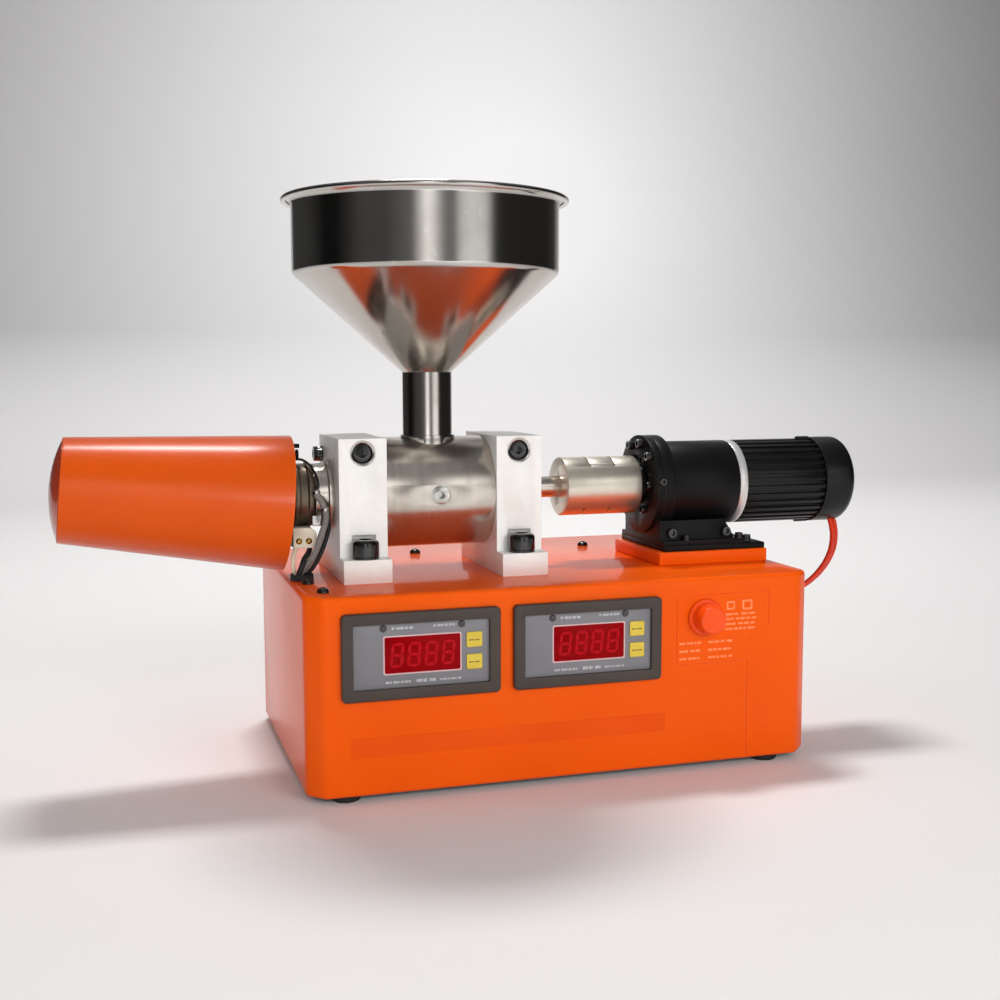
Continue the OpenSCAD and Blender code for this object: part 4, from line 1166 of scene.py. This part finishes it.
bolts = {
    "face": (28.5, 6.4, 3.8), "faceTurns": (24, 315, 350), "hub": (19.6, 5.2, 2.8),
    "base": (5.4, 3.6), "baseOut": 33, "baseAlong": (17.8, 56.8), "plate": (6.4, 4.4), "plateOut": 28,
    "gusset": (6.8, 3), "gussetOut": 30, "gussetAlong": (8, 47.9), "gussetUp": 7.9, "rim": (5, 3.8),
    "rimAt": (2.8, 32.3, 4), "plateThick": 3, "plateIn": 9.4, "hubTurn": 31,
}


def addBolts(c):
    plateX = (boxOf("motor_bracket")[0].x - benchCorner.x) / mm
    footX = plateX + c["plateThick"]
    baseHigh = boxOf("motor_base")[1]
    baseEnd, baseZ = (baseHigh.x - benchCorner.x) / mm, baseHigh.z / mm
    heads = {name: addCapScrew(name + "Head", *size, knurls=24) for name, size in (
        ("face", c["face"][1:]), ("hub", c["hub"][1:]), ("base", c["base"]), ("plate", c["plate"]),
        ("gusset", c["gusset"]), ("rim", c["rim"]))}

    def ringPlaces(radius, angles):
        return [(at(plateX, axisY + radius * math.sin(math.radians(a)), axisZ + radius * math.cos(math.radians(a))),
                 "-X") for a in angles]

    sides = ((-1, "-Y"), (1, "Y"))
    hubTurns = [c["hubTurn"] + 60 * i for i in range(6)]
    footTop = baseZ + c["plateThick"]
    rimX, rimOut, rimUp = c["rimAt"]
    groups = [
        placeScrews("faces", heads["face"], ringPlaces(c["face"][0], c["faceTurns"])),
        placeScrews("hubs", heads["hub"], ringPlaces(c["hub"][0], hubTurns)),
        placeScrews("bases", heads["base"], [(at(footX + x, axisY + side * c["baseOut"], footTop), "Z")
                                             for x in c["baseAlong"] for side, axis in sides]),
        placeScrews("plates", heads["plate"], [(at(baseEnd - c["plateIn"], axisY + side * c["plateOut"], baseZ), "Z")
                                               for side, axis in sides]),
        placeScrews("gussets", heads["gusset"], [
            (at(footX + x, axisY + side * c["gussetOut"], baseZ + c["gussetUp"]), axis)
            for x in c["gussetAlong"] for side, axis in sides]),
        placeScrews("rims", heads["rim"], [(at(plateX + rimX, axisY - rimOut, axisZ + rimUp), "-Y")]),
    ]
    removeAll(*heads.values())
    finishPiece(joinAll("bracket_screws", groups), "blackSteel", stands=["bracket_bolts"])


addBolts(bolts)
print("stage: gearmotor")


# floor, backdrop and lamps

stage = {
    "floor": rgb(233, 231, 230), "wall": rgb(244, 243, 243), "shade": rgb(164, 162, 162),
    "wallAway": 2.8, "wallHeight": 3.2, "width": 9.0, "near": 3.2,
    "bright": (0.95, 0.72), "reach": (1.5, 1.25), "shading": (0.15, 1.35),
    "turnUp": 0.35, "bend": 1.1, "uneven": (0.97, 1.03),
}


def makeBackdrop(c):
    # pale paper, whose wall carries a painted shade towards its sides and top
    material = bpy.data.materials.new("paleBackdrop")
    material.use_nodes = True
    tree = material.node_tree
    link = tree.links.new
    shader = tree.nodes["Principled BSDF"]
    place = tree.nodes.new("ShaderNodeTexCoord").outputs["Object"]
    centred = tree.nodes.new("ShaderNodeMapping")
    centred.vector_type = "TEXTURE"
    centred.inputs["Location"].default_value = (c["bright"][0], c["wallAway"], c["bright"][1])
    centred.inputs["Scale"].default_value = (c["reach"][0], 1000, c["reach"][1])
    link(place, centred.inputs["Vector"])
    away = tree.nodes.new("ShaderNodeVectorMath")
    away.operation = "LENGTH"
    link(centred.outputs["Vector"], away.inputs[0])
    parts = tree.nodes.new("ShaderNodeSeparateXYZ")
    link(place, parts.inputs["Vector"])
    upright = addRange(tree, parts.outputs["Z"], 0.0, c["turnUp"])
    # painted shade: the wall darkens away from its bright spot
    amount = addMath(tree, "MULTIPLY", addRange(tree, away.outputs["Value"], *c["shading"]), upright)
    wall = addMix(tree, amount, c["wall"], c["shade"])
    cloud = addNoise(tree, place, Scale=0.7, Detail=2.0)
    uneven = addRange(tree, cloud, 0.0, 1.0, *c["uneven"])
    colour = addMix(tree, 1.0, addMix(tree, upright, c["floor"], wall), uneven, "MULTIPLY")
    link(colour, shader.inputs["Base Color"])
    shader.inputs["Roughness"].default_value = 0.55
    shader.inputs["Specular IOR Level"].default_value = 0.2
    return material


def addBackdrop(c):
    deselectAll()
    bpy.ops.mesh.primitive_plane_add(size=1)
    obj = bpy.context.object
    obj.name = "backdrop"
    obj.scale = (c["width"], c["near"] + c["wallAway"], 1)
    obj.location = (0, (c["wallAway"] - c["near"]) / 2, 0)
    settle(obj)
    selectParts(obj, "EDGE", lambda a, b: a.y > 1 and b.y > 1)
    bpy.ops.mesh.extrude_region_move(TRANSFORM_OT_translate={"value": (0, 0, c["wallHeight"])})
    backToObject()
    selectParts(obj, "EDGE", lambda a, b: a.y > 1 and b.y > 1 and a.z < 0.01 and b.z < 0.01)
    bpy.ops.mesh.bevel(offset=c["bend"], segments=24)
    backToObject()
    obj.data.materials.append(makeBackdrop(c))
    pick(obj)
    bpy.ops.object.shade_smooth()


addBackdrop(stage)


def aim(obj, target):
    obj.rotation_euler = (target - obj.location).to_track_quat("-Z", "Y").to_euler()


middle = Vector((0, 0, 0.2))  # of the machine, which the lamps face


def addLamp(name, azimuth, elevation, distance, size, power, glossy):
    # a soft box; azimuth 0 is in front of the machine and 90 to its right
    a, e = math.radians(azimuth), math.radians(elevation)
    away = Vector((math.sin(a) * math.cos(e), -math.cos(a) * math.cos(e), math.sin(e))) * distance
    bpy.ops.object.light_add(type="AREA", location=middle + away)
    lamp = bpy.context.object
    lamp.name = name
    lamp.data.shape = "RECTANGLE"
    lamp.data.size, lamp.data.size_y = size
    lamp.data.energy = power
    lamp.visible_camera = False
    lamp.visible_glossy = glossy
    aim(lamp, middle)
    return lamp


lamps = [
    ("front_left", -14, 16, 2.0, (0.6, 0.8), 10, False),
    ("front_right", 20, 14, 2.0, (0.8, 0.8), 11, False),
    ("side_left", -100, 22, 2.0, (0.6, 0.6), 3, False),
    ("top_back", 178, 71, 1.8, (0.48, 0.24), 23, True),
]
for lamp in lamps:
    addLamp(*lamp)
stageLamps = [  # name, size, power, place and what it faces
    ("wall_lamp", (1.2, 0.6), 27, (0.7, 0.9, 1.9), (0.7, 2.8, 0.75)),
    ("floor_lamp", (1.6, 0.6), 9, (0.4, -2.0, 1.0), (0.4, -2.0, 0)),
]
for name, size, power, place, target in stageLamps:
    lamp = addLamp(name, 0, 0, 1, size, power, False)
    lamp.location = place
    aim(lamp, Vector(target))


def lightOnly(lamp, *names):
    # the lamp falls on these pieces alone
    group = bpy.data.collections.new(lamp.name + "_group")
    for name in names:
        group.objects.link(bpy.data.objects[name])
    lamp.light_linking.receiver_collection = group


lightOnly(addLamp("cover_glint", 8, 9, 2.0, (0.3, 0.12), 11, True), "cover_shell")


# the studio round the machine, as its polished parts mirror it: mostly unlit, with a tall narrow
# window and a broad one in front; each stop is an azimuth in degrees and a brightness
studio = {
    "radius": 2.4, "from": -166, "to": 128, "low": -6, "high": 68,
    "walls": ((-166, 0.05), (-126, 0.04), (-119, 0.03), (-105, 0.006), (-91, 0.006), (-79, 0.03), (-67, 0.07),
              (-46, 0.07), (-35, 0.12), (-20, 0.16), (5, 0.2), (14, 0.16), (39, 0.1), (49, 0.02), (108, 0.02),
              (128, 0.05)),
    "windows": ((-25, 0), (-18, 0.22), (-14, 0.42), (-10, 0.36), (-3, 0.1), (2, 0), (8, 0), (14, 0.2), (22, 0.27),
                (35, 0.25), (43, 0)),
    "heights": ((-0.13, 0.75), (0.04, 0.75), (0.1, 0.4), (0.19, 0.37), (0.25, 1), (0.38, 0.85), (0.5, 0.2), (0.6, 0)),
    "windowGlow": 5.5, "ceiling": 0.10, "ceilingFrom": (0.45, 0.75),
}


def addRamp(tree, value, stops, start, end):
    # brightness along a value, from a list of stops
    ramp = tree.nodes.new("ShaderNodeValToRGB")
    tree.links.new(addRange(tree, value, start, end), ramp.inputs["Fac"])
    stopList = ramp.color_ramp.elements
    for i, (place, shade) in enumerate(stops):
        spot = (place - start) / (end - start)
        stop = stopList[i] if i < 2 else stopList.new(spot)
        stop.position = spot
        stop.color = (shade, shade, shade, 1)
    return ramp.outputs["Color"]


def makeStudio(c):
    material = bpy.data.materials.new("studioRoom")
    material.use_nodes = True
    tree = material.node_tree
    link = tree.links.new
    tree.nodes.remove(tree.nodes["Principled BSDF"])
    unit = tree.nodes.new("ShaderNodeVectorMath")
    unit.operation = "NORMALIZE"
    link(tree.nodes.new("ShaderNodeTexCoord").outputs["Object"], unit.inputs[0])
    parts = tree.nodes.new("ShaderNodeSeparateXYZ")
    link(unit.outputs["Vector"], parts.inputs["Vector"])
    front = addMath(tree, "MULTIPLY", parts.outputs["Y"], -1)
    angle = addMath(tree, "ARCTAN2", parts.outputs["X"], front)
    degrees = addMath(tree, "MULTIPLY", angle, 180 / math.pi)
    walls = addRamp(tree, degrees, c["walls"], -180, 180)
    windows = addRamp(tree, degrees, c["windows"], -180, 180)
    heights = addRamp(tree, parts.outputs["Z"], c["heights"], -0.2, 0.8)
    lit = addMath(tree, "MULTIPLY_ADD", addMath(tree, "MULTIPLY", windows, heights), c["windowGlow"], walls)
    high = addRange(tree, parts.outputs["Z"], *c["ceilingFrom"], 0.0, c["ceiling"])
    glow = tree.nodes.new("ShaderNodeEmission")
    link(addMath(tree, "ADD", lit, high), glow.inputs["Strength"])
    link(glow.outputs["Emission"], tree.nodes["Material Output"].inputs["Surface"])
    return material


def addStudio(c):
    # part of a sphere about the machine, which only reflections see
    deselectAll()
    bpy.ops.mesh.primitive_uv_sphere_add(segments=98, ring_count=90, radius=c["radius"])
    room = bpy.context.object
    room.name = "studio_room"

    def outside(f):
        p = f.center.normalized()
        azimuth, height = math.degrees(math.atan2(p.x, -p.y)), math.degrees(math.asin(p.z))
        return not (c["from"] < azimuth < c["to"] and c["low"] < height < c["high"])

    selectParts(room, "FACE", outside)
    bpy.ops.mesh.delete(type="FACE")
    backToObject()
    room.location = middle
    room.data.materials.append(makeStudio(c))
    room.visible_camera = False
    room.visible_diffuse = False
    room.visible_shadow = False
    room.visible_transmission = False


addStudio(studio)


def lightWorld(plain, seenOnes):
    # plain pale surroundings; the camera, reflections and glass see them a little brighter
    world = scene.world or bpy.data.worlds.new("world")
    scene.world = world
    world.use_nodes = True
    tree = world.node_tree
    back = tree.nodes["Background"]
    back.inputs["Color"].default_value = rgb(240, 240, 242)
    path = tree.nodes.new("ShaderNodeLightPath")
    seen = addMath(tree, "MAXIMUM", path.outputs["Is Camera Ray"], path.outputs["Is Glossy Ray"])
    seen = addMath(tree, "MAXIMUM", seen, path.outputs["Is Transmission Ray"])
    tree.links.new(addRange(tree, seen, 0.0, 1.0, plain, seenOnes), back.inputs["Strength"])


lightWorld(0.26, 0.5)
print("stage: lamps")
